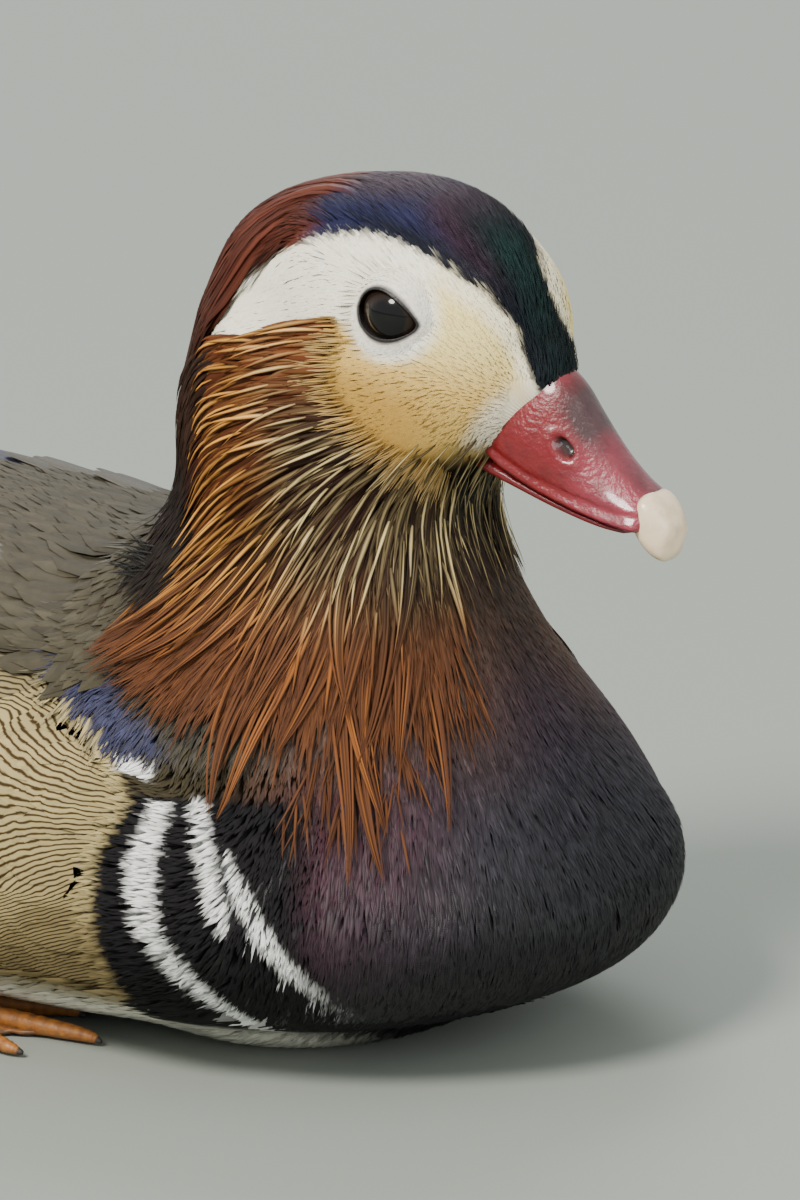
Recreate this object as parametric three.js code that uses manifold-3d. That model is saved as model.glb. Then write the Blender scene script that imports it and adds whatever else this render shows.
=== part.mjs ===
// A mandarin drake in full plumage, life size, at rest on its belly with its feet tucked under.
// Millimetres. +X is the way the body points, +Y the bird's left, +Z up.
// The origin is on the floor, in the middle of the flat under the belly.
import * as THREE from "three";
import { mergeVertices } from "three/addons/utils/BufferGeometryUtils.js";
import Module from "manifold-3d";

const wasm = await Module();
wasm.setup();

// Driving dimensions
const GAP = 0.3; // between nodes that touch
const HEAD_PLACE = new THREE.Vector3(75, 0, 128); // midway between the eyes
const HEAD_TURN = -6; // degrees, towards the bird's right
const HEAD_BOW = 17; // degrees, bill down
const RUMP_X = -122; // where the tail leaves the torso
const EYE = { x: 1.8, y: 13.4, z: 0.8, r: 6.8 }; // in the head's frame
const SIDES = { right: -1, left: 1 };

// Station x; middle height, reach up, reach down, half-width
const TORSO = [
  [-150, 54, 6, 8, 13],
  [-125, 52, 14, 19, 25],
  [-100, 49, 24, 33, 38],
  [-70, 45, 35, 43, 50],
  [-35, 40, 42, 41, 58],
  [0, 37, 43.2, 38, 61],
  [35, 36, 40.2, 37, 60],
  [62, 35, 33, 34, 54],
  [80, 33, 20, 26, 41],
  [92, 31, 9, 14, 22],
  [96, 30, 3, 5, 8],
];
// Station z; middle x, reach ahead, reach behind, half-width
const NECK = [
  [6, 56, 22, 20, 24],
  [10, 57, 40, 34, 40],
  [17, 58, 51, 40, 50],
  [28, 59, 54, 42, 55],
  [42, 59, 46.8, 40, 49],
  [55, 58, 39.5, 38, 41],
  [66, 57, 34, 34, 33],
  [78, 56, 29, 30.5, 27],
  [90, 55.5, 26, 27, 23.5],
  [104, 57, 24.5, 25.5, 21.5],
  [116, 58, 20, 21, 18],
];
// Middle and radii of the masses that make up the head, in its own frame
const SKULL = [[-2, 0, -2.5], [25, 18.5, 20.5]];
const LORES = [[15, 0, -9], [12.5, 9.5, 11.5]];
const CHEEK = [[3, 9, -12], [16, 10, 12]];
const BROW = [[8, 7, 0.5], [11, 7.4, 9.4]];
const NAPE = [[-18, 0, -10], [22, 14, 17.5]];
const MANE = [[-28, 0, -27], [14, 12, 20]];

const vec = (x, y, z) => new THREE.Vector3(x, y, z);
const radians = THREE.MathUtils.degToRad;
const lerp = THREE.MathUtils.lerp;

// A smooth curve through rows of [station, values...], as a function of the station
function profile(rows) {
  const slope = (i, k) => {
    const a = rows[Math.max(i - 1, 0)];
    const b = rows[Math.min(i + 1, rows.length - 1)];
    return (b[k] - a[k]) / (b[0] - a[0]);
  };
  const last = rows.length - 1;
  return (station) => {
    const s = THREE.MathUtils.clamp(station, rows[0][0], rows[last][0]);
    let i = 0;
    while (i < last - 1 && s > rows[i + 1][0]) i++;
    const h = rows[i + 1][0] - rows[i][0];
    const t = (s - rows[i][0]) / h;
    const values = [];
    for (let k = 1; k < rows[0].length; k++) {
      values.push(
        (2 * t ** 3 - 3 * t ** 2 + 1) * rows[i][k] +
          (t ** 3 - 2 * t ** 2 + t) * h * slope(i, k) +
          (-2 * t ** 3 + 3 * t ** 2) * rows[i + 1][k] +
          (t ** 3 - t ** 2) * h * slope(i + 1, k),
      );
    }
    return values;
  };
}
const torsoAt = profile(TORSO);
const neckAt = profile(NECK);

// How far (a, b) lies outside an oval section, about in millimetres
function outsideOval(a, b, reach, width, roundness) {
  const rho = (Math.abs(a / reach) ** roundness + Math.abs(b / width) ** roundness) ** (1 / roundness);
  return (rho - 1) * Math.min(reach, width);
}

function beyondEnds(distance, value, low, high) {
  const over = Math.max(value - high, low - value, 0);
  return over > 0 ? Math.hypot(Math.max(distance, 0), over) : distance;
}

function torsoField(p) {
  const [middle, up, down, width] = torsoAt(p.x);
  const reach = p.z > middle ? up : down;
  return beyondEnds(outsideOval(p.z - middle, p.y, reach, width, 2.25), p.x, TORSO[0][0], TORSO.at(-1)[0]);
}

function neckField(p) {
  const [middle, ahead, behind, width] = neckAt(p.z);
  const reach = p.x > middle ? ahead : behind;
  return beyondEnds(outsideOval(p.x - middle, p.y, reach, width, 2.05), p.z, NECK[0][0], NECK.at(-1)[0]);
}

function outsideEllipsoid(p, [[x, y, z], [a, b, c]]) {
  const q = vec((p.x - x) / a, (p.y - y) / b, (p.z - z) / c);
  const k = q.length();
  return (k * (k - 1)) / Math.max(Math.hypot(q.x / a, q.y / b, q.z / c), 1e-6);
}

// The lesser of two distances, blended over the given reach
function blend(a, b, reach) {
  const h = Math.max(reach - Math.abs(a - b), 0) / reach;
  return Math.min(a, b) - (h * h * reach) / 4;
}

const headFrame = new THREE.Matrix4()
  .makeRotationFromEuler(new THREE.Euler(0, radians(HEAD_BOW), radians(HEAD_TURN), "ZYX"))
  .setPosition(HEAD_PLACE);
const intoHead = headFrame.clone().invert();
const fromHead = (x, y, z) => vec(x, y, z).applyMatrix4(headFrame);

function headField(p) {
  const q = p.clone().applyMatrix4(intoHead);
  let d = blend(outsideEllipsoid(q, SKULL), outsideEllipsoid(q, LORES), 9);
  const mirrored = vec(q.x, Math.abs(q.y), q.z);
  d = blend(d, outsideEllipsoid(mirrored, CHEEK), 10);
  d = blend(d, outsideEllipsoid(mirrored, BROW), 5);
  d = blend(d, outsideEllipsoid(q, NAPE), 10);
  return blend(d, outsideEllipsoid(q, MANE), 10);
}

// Distance outside the whole bird, flesh and small feathers
const birdField = (p) => blend(blend(torsoField(p), neckField(p), 16), headField(p), 12);

const ramp = THREE.MathUtils.smoothstep;

// How far the bodies lie under the outline, where longer feathers are laid over them
const COAT = { torso: 0.9, nape: 2.6, throat: 1, crest: 2.4 };

function neckCoat(p) {
  const ahead = (p.x - 57) / Math.max(Math.hypot(p.x - 57, p.y), 1);
  return lerp(COAT.nape, COAT.throat, ramp(ahead, 0.55, 0.9));
}

function headCoat(p) {
  const q = p.clone().applyMatrix4(intoHead);
  return COAT.crest * Math.max(ramp(-q.x, 6, 20), ramp(-q.z, 13, 20) * ramp(-q.x, -14, 0));
}

function outward(p, field = birdField) {
  const e = 0.05;
  return vec(
    field(vec(p.x + e, p.y, p.z)) - field(vec(p.x - e, p.y, p.z)),
    field(vec(p.x, p.y + e, p.z)) - field(vec(p.x, p.y - e, p.z)),
    field(vec(p.x, p.y, p.z + e)) - field(vec(p.x, p.y, p.z - e)),
  ).divideScalar(2 * e);
}

// Moves a point to a height over the bird's surface
function lay(point, height) {
  const p = point.clone();
  for (let i = 0; i < 14; i++) {
    const g = outward(p);
    p.addScaledVector(g, -(0.8 * (birdField(p) - height)) / Math.max(g.lengthSq(), 0.05));
  }
  return p;
}

// First point along a ray from inside where the field passes the level
function cast(from, way, level, field) {
  const at = (r) => field(from.clone().addScaledVector(way, r)) - level;
  let far = 1;
  while (far < 200 && at(far) < 0) far += 1.5;
  let near = Math.max(far - 1.5, 0);
  for (let i = 0; i < 24; i++) {
    const mid = (near + far) / 2;
    if (at(mid) < 0) near = mid;
    else far = mid;
  }
  return from.clone().addScaledVector(way, far);
}

const closed = (geometry) => {
  const plain = geometry.clone();
  for (const name of Object.keys(plain.attributes)) {
    if (name !== "position") plain.deleteAttribute(name);
  }
  return mergeVertices(plain, 1e-4);
};

function solid(geometry) {
  const merged = closed(geometry);
  return new wasm.Manifold(
    new wasm.Mesh({
      numProp: 3,
      vertProperties: new Float32Array(merged.attributes.position.array),
      triVerts: new Uint32Array(merged.index.array),
    }),
  );
}

// A capsule round an axis, each vertex carried out to the field's level
function shell(start, end, [caps, around, along], level, field) {
  const length = start.distanceTo(end);
  const geometry = new THREE.CapsuleGeometry(1, length, caps, around, along);
  const turn = new THREE.Quaternion().setFromUnitVectors(vec(0, 1, 0), end.clone().sub(start).normalize());
  const position = geometry.attributes.position;
  for (let i = 0; i < position.count; i++) {
    const v = vec(position.getX(i), position.getY(i), position.getZ(i));
    const s = THREE.MathUtils.clamp(v.y, -length / 2, length / 2);
    const way = vec(v.x, v.y - s, v.z).applyQuaternion(turn).normalize();
    const from = start.clone().lerp(end, s / length + 0.5);
    const p = cast(from, way, level, field);
    position.setXYZ(i, p.x, p.y, p.z);
  }
  return solid(geometry);
}

// Everything on the side of a plane that its normal points to
function beyond(point, normal) {
  const size = 900;
  const box = new THREE.BoxGeometry(size, size, size);
  const n = normal.clone().normalize();
  box.applyQuaternion(new THREE.Quaternion().setFromUnitVectors(vec(0, 0, 1), n));
  box.translate(...point.clone().addScaledVector(n, size / 2).toArray());
  return solid(box);
}

// Only the largest closed surface of a solid
function largest(made) {
  return made.decompose().sort((a, b) => b.volume() - a.volume())[0];
}

const join = (...solids) => solids.flat().reduce((a, b) => a.add(b));

// Sections of four corners down a line: a flat, tapering blade with a low ridge on each face
function blade(points, normals, halfWidths, thickness) {
  const corners = [];
  const last = points.length - 1;
  points.forEach((p, i) => {
    const along = points[Math.min(i + 1, last)].clone().sub(points[Math.max(i - 1, 0)]).normalize();
    const across = vec(0, 0, 0).crossVectors(along, normals[i]).normalize();
    const up = vec(0, 0, 0).crossVectors(across, along).normalize();
    const half = (thickness / 2) * (i === last ? 0.6 : 1);
    corners.push(p.clone().addScaledVector(across, -halfWidths[i]));
    corners.push(p.clone().addScaledVector(up, half));
    corners.push(p.clone().addScaledVector(across, halfWidths[i]));
    corners.push(p.clone().addScaledVector(up, -half));
  });
  const faces = [];
  for (let i = 0; i < last; i++) {
    for (let k = 0; k < 4; k++) {
      const a = 4 * i + k;
      const b = 4 * i + ((k + 1) % 4);
      const split = k % 2 === 0 ? [a, b, a + 4, b, b + 4, a + 4] : [a, b, b + 4, a, b + 4, a + 4];
      faces.push(...split);
    }
  }
  const end = 4 * last;
  faces.push(0, 2, 1, 0, 3, 2);
  faces.push(end, end + 1, end + 2, end, end + 2, end + 3);
  const geometry = new THREE.BufferGeometry();
  const places = corners.flatMap((c) => c.toArray());
  geometry.setAttribute("position", new THREE.Float32BufferAttribute(places, 3));
  geometry.setIndex(faces);
  const made = solid(geometry);
  if (made.volume() > 0) return made;
  for (let i = 0; i < faces.length; i += 3) {
    [faces[i + 1], faces[i + 2]] = [faces[i + 2], faces[i + 1]];
  }
  geometry.setIndex(faces);
  return solid(geometry);
}

// How wide a feather is along its length, as a share of its widest
const STREAMER = { places: [0, 0.2, 0.4, 0.6, 0.8, 1], widths: [0.6, 0.95, 1, 0.8, 0.5, 0.12] };
const LANCE = { places: [0, 0.22, 0.48, 0.75, 1], widths: [0.6, 1, 0.95, 0.62, 0.12] };
const PADDLE = { places: [0, 0.3, 0.6, 0.85, 1], widths: [0.55, 0.85, 1, 0.95, 0.45] };

// The height of a feather along its length: sunk at the root, then over the coat, then at the tip
function lift(t, [root, over, tip]) {
  return t < 0.25 ? lerp(root, over, t / 0.25) : lerp(over, tip, (t - 0.25) / 0.75);
}

// A feather that lies over the bird along a path from root to tip
function layFeather({ path, heights, width, thickness = 1, shape = LANCE }) {
  const points = shape.places.map((t) => lay(path.getPoint(t), lift(t, heights)));
  const normals = points.map((p) => outward(p).normalize());
  return blade(points, normals, shape.widths.map((s) => (s * width) / 2), thickness);
}

// A feather over the torso, between two places given as a station and an angle above the level
function torsoFeather({ side, from, to, heights, width, thickness = 0.8, shape = PADDLE }) {
  const points = shape.places.map((t) =>
    overTorso(lerp(from[0], to[0], t), lerp(from[1], to[1], t), side, lift(t, heights)),
  );
  const normals = points.map((p) => outward(p, torsoField).normalize());
  return blade(points, normals, shape.widths.map((s) => (s * width) / 2), thickness);
}

// A line of points over the bird's right side, turned to the asked side
function line(rows, side) {
  return new THREE.CatmullRomCurve3(rows.map(([x, y, z]) => vec(x, side * y, z)), false, "centripetal");
}

// Cut planes: a point and the way to the part beyond
const neckCut = { point: vec(58, 0, 66), way: vec(Math.sin(radians(18)), 0, Math.cos(radians(18))) };
const headCut = { point: vec(57, 0, 99.5), way: vec(0.1, 0, 1).normalize() };
const tailCut = { point: vec(RUMP_X, 0, 50), way: vec(-1, 0, 0.12).normalize() };
const behindCut = (cut, p) => p.clone().sub(cut.point).dot(cut.way);
const trimBeyond = (cut) => beyond(cut.point.clone().addScaledVector(cut.way, -GAP / 2), cut.way);
const trimBefore = (cut) =>
  beyond(cut.point.clone().addScaledVector(cut.way, GAP / 2), cut.way.clone().negate());
const MARGIN = 6; // shells run this far past a cut before it trims them

function torsoShell(level) {
  const field = (p) =>
    Math.max(birdField(p) + COAT.torso, behindCut(neckCut, p) - MARGIN, behindCut(tailCut, p) - MARGIN);
  return shell(vec(-108, 0, 50), vec(52, 0, 38), [6, 34, 14], level, field);
}

function neckShell(level) {
  const field = (p) =>
    Math.max(birdField(p) + neckCoat(p), behindCut(headCut, p) - MARGIN, -behindCut(neckCut, p) - MARGIN);
  return shell(vec(56, 0, 74), vec(58, 0, 94), [5, 32, 4], level, field);
}

function headShell(level) {
  const field = (p) => Math.max(birdField(p) + headCoat(p), -behindCut(headCut, p) - MARGIN);
  return shell(fromHead(-20, 0, -12), fromHead(8, 0, -4), [8, 32, 4], level, field);
}

function tailShell(level) {
  const field = (p) => Math.max(birdField(p) + COAT.torso, -behindCut(tailCut, p) - MARGIN);
  return shell(vec(-126, 0, 53), vec(-140, 0, 54.5), [4, 20, 3], level, field);
}

const floor = beyond(vec(0, 0, 0), vec(0, 0, -1));

// The room that each node takes from those laid over it
const torsoSpace = torsoShell(GAP + 0.05).subtract(trimBeyond({ ...neckCut, point: vec(58.1, 0, 66.3) }));
const neckSpace = neckShell(GAP + 0.05).subtract(trimBeyond({ ...headCut, point: vec(57, 0, 99.8) }));
const headSpace = headShell(GAP + 0.05);

function makeTorso() {
  let body = torsoShell(0).subtract(trimBeyond(neckCut)).subtract(trimBeyond(tailCut));
  for (const side of Object.values(SIDES)) {
    body = body.subtract(wingPocket(side));
    for (const [row, angle] of [-4, 10].entries()) {
      for (let i = 0; i < 3; i++) {
        const x = 2 - 29 * i - 14 * row;
        const from = [x, angle + 3 * i];
        const to = [x - 42, angle + 4 * i + 4];
        body = body.add(torsoFeather({ side, from, to, heights: [-2.8, -0.1, 1.1], width: 11 }));
      }
    }
  }
  return largest(body.subtract(floor));
}

// The lower tier of the ruff, long streamers that end on the breast and the shoulders
const STREAMERS = {
  count: 9,
  roots: [[76, 17, 94], [66, 24, 93], [52, 24, 93], [39, 17, 94], [33, 10, 95]],
  tips: [[93, 40, 36], [79, 51, 39], [64, 54, 47], [48, 51, 58], [35, 41, 69], [24, 27, 77]],
};

function makeNeck() {
  let made = neckShell(0).subtract(trimBefore(neckCut)).subtract(trimBeyond(headCut));
  for (const side of Object.values(SIDES)) {
    const roots = line(STREAMERS.roots, side);
    const tips = line(STREAMERS.tips, side);
    for (let i = 0; i < STREAMERS.count; i++) {
      const t = i / (STREAMERS.count - 1);
      const root = roots.getPoint(t);
      const tip = tips.getPoint(t).lerp(root, (i % 2) * 0.12);
      const path = new THREE.LineCurve3(root, tip);
      const feather = layFeather({ path, heights: [-4.4, -1.1, 0.7], width: 7.8, shape: STREAMER });
      made = made.add(feather.subtract(torsoSpace));
    }
  }
  return largest(made);
}

function lidRing(side) {
  const ring = new THREE.TorusGeometry(5.4, 1, 5, 18);
  ring.scale(1.1, 0.86, 1.3);
  ring.rotateX(Math.PI / 2);
  ring.rotateZ(side * radians(-10));
  ring.rotateY(radians(14));
  ring.translate(EYE.x, side * 17.5, EYE.z);
  ring.applyMatrix4(headFrame);
  return solid(ring);
}

function eyeball(side, radius) {
  const ball = new THREE.SphereGeometry(radius, 14, 9);
  ball.translate(EYE.x, side * EYE.y, EYE.z);
  ball.applyMatrix4(headFrame);
  return solid(ball);
}

// The upper tier of the ruff, from the cheek and the crest's side down over the neck
const MANTLE = {
  count: 8,
  roots: [[10, 14, -17], [2, 18, -13], [-10, 18, -11], [-23, 15, -13], [-33, 10, -21]],
  tips: [[88, 26, 63], [78, 37, 61], [62, 44, 65], [44, 40, 75], [28, 27, 81]],
};

// Rows of the crest, from the crown over the nape: the path on the middle line in the head's frame,
// the tip over the back, how far apart the feathers are at root and tip, and their heights
const CREST = [
  {
    path: [[-14, 14], [-36, 2], [-45, -22]],
    tip: [18, 87],
    count: 4,
    apart: [3.6, 5.6],
    heights: [-4.4, 1, 3],
  },
  {
    path: [[-27, 8], [-42, -10], [-45, -28]],
    tip: [19, 80],
    count: 5,
    apart: [3.6, 6.6],
    heights: [-4.4, -0.6, 1.5],
  },
];

function makeHead() {
  let made = headShell(0).subtract(trimBefore(headCut));
  for (const side of Object.values(SIDES)) {
    made = made.add(lidRing(side)).subtract(eyeball(side, EYE.r + GAP));
    const roots = line(MANTLE.roots, side);
    const tips = line(MANTLE.tips, side);
    for (let i = 0; i < MANTLE.count; i++) {
      const t = i / (MANTLE.count - 1);
      const root = roots.getPoint(t).applyMatrix4(headFrame);
      const tip = tips.getPoint(t).lerp(root, ((i + 1) % 2) * 0.1);
      const path = new THREE.LineCurve3(root, tip);
      const feather = layFeather({ path, heights: [-4.4, 0.3, 2], width: 7.6 });
      made = made.add(feather.subtract(neckSpace));
    }
  }
  for (const { path, tip, count, apart, heights } of CREST) {
    for (let i = 0; i < count; i++) {
      const across = i - (count - 1) / 2;
      const points = path.map(([x, z], k) => fromHead(x, across * lerp(apart[0], apart[1], k / 3), z));
      points[0].z -= 0.5 * across * across;
      points.push(vec(tip[0] + across * across, apart[1] * across, tip[1] - 0.6 * across * across));
      const curve = new THREE.CatmullRomCurve3(points, false, "centripetal");
      const feather = layFeather({ path: curve, heights, width: 6, shape: STREAMER });
      made = made.add(feather.subtract(neckSpace));
    }
  }
  return largest(made.subtract(torsoSpace));
}

// A closed tube of ring sections, each a list of points of the same count
function loft(rings) {
  const count = rings[0].length;
  const position = rings.flat().flatMap((p) => p.toArray());
  const faces = [];
  for (let i = 0; i < rings.length - 1; i++) {
    for (let k = 0; k < count; k++) {
      const a = i * count + k;
      const b = i * count + ((k + 1) % count);
      faces.push(a, b, b + count, a, b + count, a + count);
    }
  }
  const end = (rings.length - 1) * count;
  for (let k = 1; k < count - 1; k++) {
    faces.push(0, k + 1, k);
    faces.push(end, end + k, end + k + 1);
  }
  const geometry = new THREE.BufferGeometry();
  geometry.setAttribute("position", new THREE.Float32BufferAttribute(position, 3));
  geometry.setIndex(faces);
  const made = solid(geometry);
  if (made.volume() > 0) return made;
  geometry.setIndex(faces.map((v, i) => faces[i - (i % 3) + 2 - (i % 3)]));
  return solid(geometry);
}

// Bill sections along the head's x: bottom, top, half-width
const UPPER_BILL = [
  [12, -19.6, -4.6, 8.3],
  [20, -20, -3.2, 8.5],
  [24, -20.3, -1.8, 8.4],
  [28, -20.6, -1.6, 8],
  [32, -20.9, -3.6, 7.6],
  [37, -20.9, -7, 7.2],
  [43, -20.6, -10.4, 6.8],
  [49.3, -19.9, -12.9, 6],
];
const LOWER_BILL = [
  [12, -24.2, -20.2, 6.4],
  [20, -23.9, -20.6, 6.6],
  [27, -23.6, -21, 6.4],
  [36, -23.3, -21.3, 6],
  [44, -22.6, -20.9, 5.4],
  [48.6, -21.7, -20.5, 4.4],
];
const NAIL = [
  [49.3 + GAP, -20.4, -13, 5.4],
  [51.5, -21.8, -13.3, 5.2],
  [53.2, -22.7, -14, 4.8],
  [54.8, -23.2, -15.2, 4.1],
  [56.2, -23, -16.8, 3.1],
  [57.2, -22, -18.6, 1.6],
];

// Rings of a bill part: narrow at the top, with a flat or a rounded floor
function billRings(sections, narrowing, floorDepth) {
  const around = 18;
  return sections.map(([x, bottom, top, width]) => {
    const ring = [];
    const seat = lerp(bottom, top, floorDepth);
    for (let k = 0; k < around; k++) {
      const a = (2 * Math.PI * k) / around;
      const up = Math.sin(a);
      const z = up > 0 ? seat + (top - seat) * up : seat + (seat - bottom) * up;
      const out = Math.sign(Math.cos(a)) * Math.abs(Math.cos(a)) ** 0.8;
      const y = width * out * (1 - narrowing * Math.max(up, 0));
      ring.push(fromHead(x, y, z));
    }
    return ring;
  });
}

function nostril(side) {
  const hole = new THREE.SphereGeometry(1, 12, 8);
  hole.scale(2.3, 1.5, 1.15);
  hole.rotateY(radians(24));
  hole.translate(34, side * 6.1, -10.8);
  hole.applyMatrix4(headFrame);
  return solid(hole);
}

function makeUpperBill() {
  let made = loft(billRings(UPPER_BILL, 0.38, 0.12));
  for (const side of Object.values(SIDES)) made = made.subtract(nostril(side));
  return largest(made.subtract(headSpace));
}

// Each toe: where its tip lies, from the joint of the toes
const TOES = [
  [33, -12],
  [43, -1],
  [35, 11],
];

function tube(points, radii, around = 8) {
  const rings = points.map((p, i) => {
    const next = points[Math.min(i + 1, points.length - 1)];
    const ahead = next.clone().sub(points[Math.max(i - 1, 0)]).normalize();
    const across = vec(0, 0, 0).crossVectors(ahead, vec(0, 0, 1)).normalize();
    const up = vec(0, 0, 0).crossVectors(across, ahead);
    const ring = [];
    for (let k = 0; k < around; k++) {
      const a = (2 * Math.PI * (k + 0.5)) / around;
      const sideways = p.clone().addScaledVector(across, radii[i] * Math.cos(a));
      ring.push(sideways.addScaledVector(up, radii[i] * Math.sin(a)));
    }
    return ring;
  });
  return loft(rings);
}

function makeLeg(side) {
  const joint = vec(-14, side * 41, 2.6);
  const heel = vec(-50, side * 37, 3.4);
  const parts = [
    tube([heel, heel.clone().lerp(joint, 0.5), joint.clone().add(vec(2, 0, 0))], [3, 2.3, 2.9]),
    tube(
      [heel.clone().add(vec(-2.5, 0, -0.3)), vec(-46, side * 36, 9), vec(-39, side * 35, 16)],
      [2.9, 4, 6],
    ),
    tube([joint, vec(-23, side * 44, 2), vec(-29, side * 46, 1)], [1.8, 1.3, 0.6], 6),
  ];
  const outline = [vec(-1.5, 0, 0)];
  TOES.forEach(([x, y], i) => {
    const tip = vec(joint.x + x, joint.y + side * y, 1);
    const knuckle = joint.clone().lerp(tip, 0.5).setZ(2.5);
    const claw = tip.clone().add(vec(3.4, 0, -0.3));
    parts.push(tube([joint, knuckle, tip.clone().setZ(1.6), claw], [2.2, 1.9, 1.3, 0.4], 6));
    outline.push(vec(x - 1, side * y, 0));
    if (i < 2) {
      const [nx, ny] = TOES[i + 1];
      outline.push(vec((x + nx) / 2 - 4, side * (y + ny) / 2, 0));
    }
  });
  const web = new THREE.ExtrudeGeometry(new THREE.Shape(outline.map((p) => new THREE.Vector2(p.x, p.y))), {
    depth: 1.2,
    bevelEnabled: false,
  });
  web.translate(joint.x, joint.y, 0);
  parts.push(solid(web));
  return largest(join(parts).subtract(floor).subtract(torsoSpace));
}

// A point over the torso, by its station, its angle above the level and its height
function overTorso(x, angle, side, height) {
  const [middle] = torsoAt(x);
  const way = vec(0, side * Math.cos(radians(angle)), Math.sin(radians(angle)));
  return cast(vec(x, 0, middle), way, height, torsoField);
}

// A slab between two sheets of a grid, both split alike
function slab(across, down, place) {
  const position = [];
  for (const face of [0, 1]) {
    for (let j = 0; j <= down; j++) {
      for (let i = 0; i <= across; i++) position.push(...place(i / across, j / down, face).toArray());
    }
  }
  const row = across + 1;
  const sheet = row * (down + 1);
  const faces = [];
  for (let j = 0; j < down; j++) {
    for (let i = 0; i < across; i++) {
      const a = j * row + i;
      faces.push(a, a + row, a + 1, a + 1, a + row, a + row + 1);
      const b = a + sheet;
      faces.push(b, b + 1, b + row, b + 1, b + row + 1, b + row);
    }
  }
  const wall = (a, b) => faces.push(a, b, b + sheet, a, b + sheet, a + sheet);
  for (let i = 0; i < across; i++) {
    wall(i, i + 1);
    wall(down * row + i + 1, down * row + i);
  }
  for (let j = 0; j < down; j++) {
    wall((j + 1) * row, j * row);
    wall(j * row + across, (j + 1) * row + across);
  }
  const geometry = new THREE.BufferGeometry();
  geometry.setAttribute("position", new THREE.Float32BufferAttribute(position, 3));
  geometry.setIndex(faces);
  const made = solid(geometry);
  if (made.volume() > 0) return made;
  geometry.setIndex(faces.map((v, i) => faces[i - (i % 3) + 2 - (i % 3)]));
  return solid(geometry);
}

// The folded wing's plate, let into the torso, thick in the middle and thin at its rim
const WING = { front: 16, back: -112, low: 24, high: 60, inner: -4.4, outer: -1.7, crown: 1 };

function wingPlate(side, grow = 0, open = 0) {
  return slab(14, 5, (u, v, face) => {
    const s = (u - 0.5) * (1 + grow / 62) + 0.5;
    const w = (v - 0.5) * (1 + grow / 14) + 0.5;
    const round = 9 * (2 * w - 1) ** 2;
    const x = lerp(WING.front - round, WING.back, s);
    const angle = lerp(WING.low + 8 * u, WING.high + 8 * u, w);
    const rim = Math.min(1, 4 * Math.min(u, 1 - u), 4 * Math.min(v, 1 - v) + 0.2);
    const height = face ? WING.outer + WING.crown * rim + grow + open : WING.inner - grow;
    return overTorso(x, angle, side, height);
  });
}

// The place in the torso that the wing is let into, open to the outside
const wingPocket = (side) => wingPlate(side, GAP, 6);

// Rows of the folded wing: where the row starts, its length, how many and how wide
const WING_ROWS = [
  { start: 9, length: 32, count: 3, width: 9.6 },
  { start: -10, length: 38, count: 3, width: 9.6 },
  { start: -35, length: 40, count: 3, width: 9.4 },
  { start: -60, length: 62, count: 3, width: 8.8 },
];
const PRIMARIES = { count: 4, root: -84, tip: -136, step: 4, width: 5.6 };

// The orange sail: its shaft runs back and up from its root, and its inner web stands over it
const SAIL_SHAFT = [
  [-30, 26, 75.5],
  [-50, 28, 75.5],
  [-68, 29, 78],
  [-84, 29, 82.5],
  [-97, 28, 88],
];
const SAIL_EDGE = [
  [-31, 26, 79],
  [-43, 28, 98],
  [-60, 29.5, 112],
  [-77, 29.5, 120.5],
  [-96, 27, 124],
];

function sail(side) {
  const shaft = line(SAIL_SHAFT, side);
  const edge = line(SAIL_EDGE, side);
  return slab(10, 5, (u, v, face) => {
    const p = shaft.getPoint(u).lerp(edge.getPoint(u), v);
    p.y += side * 3.5 * Math.sin(Math.PI * v) * u;
    p.y += (face ? 1 : -1) * (0.65 - 0.25 * v);
    return p;
  });
}

function makeWing(side) {
  let made = wingPlate(side).add(sail(side).subtract(torsoSpace));
  for (const { start, length, count, width } of WING_ROWS) {
    for (let i = 0; i < count; i++) {
      const angle = lerp(WING.low, WING.high, (i + 0.5) / count) + (8 * (WING.front - start)) / 128;
      const from = [start, angle];
      const to = [start - length, angle + length / 16];
      made = made.add(torsoFeather({ side, from, to, heights: [-2.6, 0.3, 1.6], width }));
    }
  }
  const { count, root, tip, step, width } = PRIMARIES;
  for (let i = 0; i < count; i++) {
    const from = [root, 41 + 7.5 * i];
    const to = [tip - step * i, 47 + 12 * i];
    const heights = [-2.6, 0.3, 1.7 + 0.5 * i];
    const quill = torsoFeather({ side, from, to, heights, width, shape: STREAMER });
    made = made.add(quill);
  }
  return largest(made.subtract(torsoSpace.subtract(wingPocket(side))));
}

// Tail feathers from the middle one outwards, each a little lower and shorter than the last
const TAIL = {
  root: vec(-132, 0, 57.5),
  length: 73,
  count: 5,
  halfWidth: 6,
  turn: 5,
  fall: 1.35,
  droop: 6,
};

function tailFeather(side, i) {
  const length = TAIL.length * (1 - 0.035 * i);
  const spread = radians(TAIL.turn * i);
  const points = PADDLE.places.map((t, k) => {
    const s = length * t;
    const clear = i === 0 ? 0 : PADDLE.widths[k] * TAIL.halfWidth + GAP;
    const y = side * Math.max(1.5 * i + s * Math.sin(spread), clear);
    return vec(-s * Math.cos(spread), y, -TAIL.fall * i - TAIL.droop * t).add(TAIL.root);
  });
  const normals = points.map(() => vec(0, side * 0.05 * i, 1).normalize());
  return blade(points, normals, PADDLE.widths.map((w) => TAIL.halfWidth * w), 0.85);
}

function makeTail() {
  let made = tailShell(0).subtract(trimBefore(tailCut)).add(tailFeather(1, 0));
  for (const side of Object.values(SIDES)) {
    for (let i = 1; i <= TAIL.count; i++) made = made.add(tailFeather(side, i));
  }
  return largest(made);
}

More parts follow.
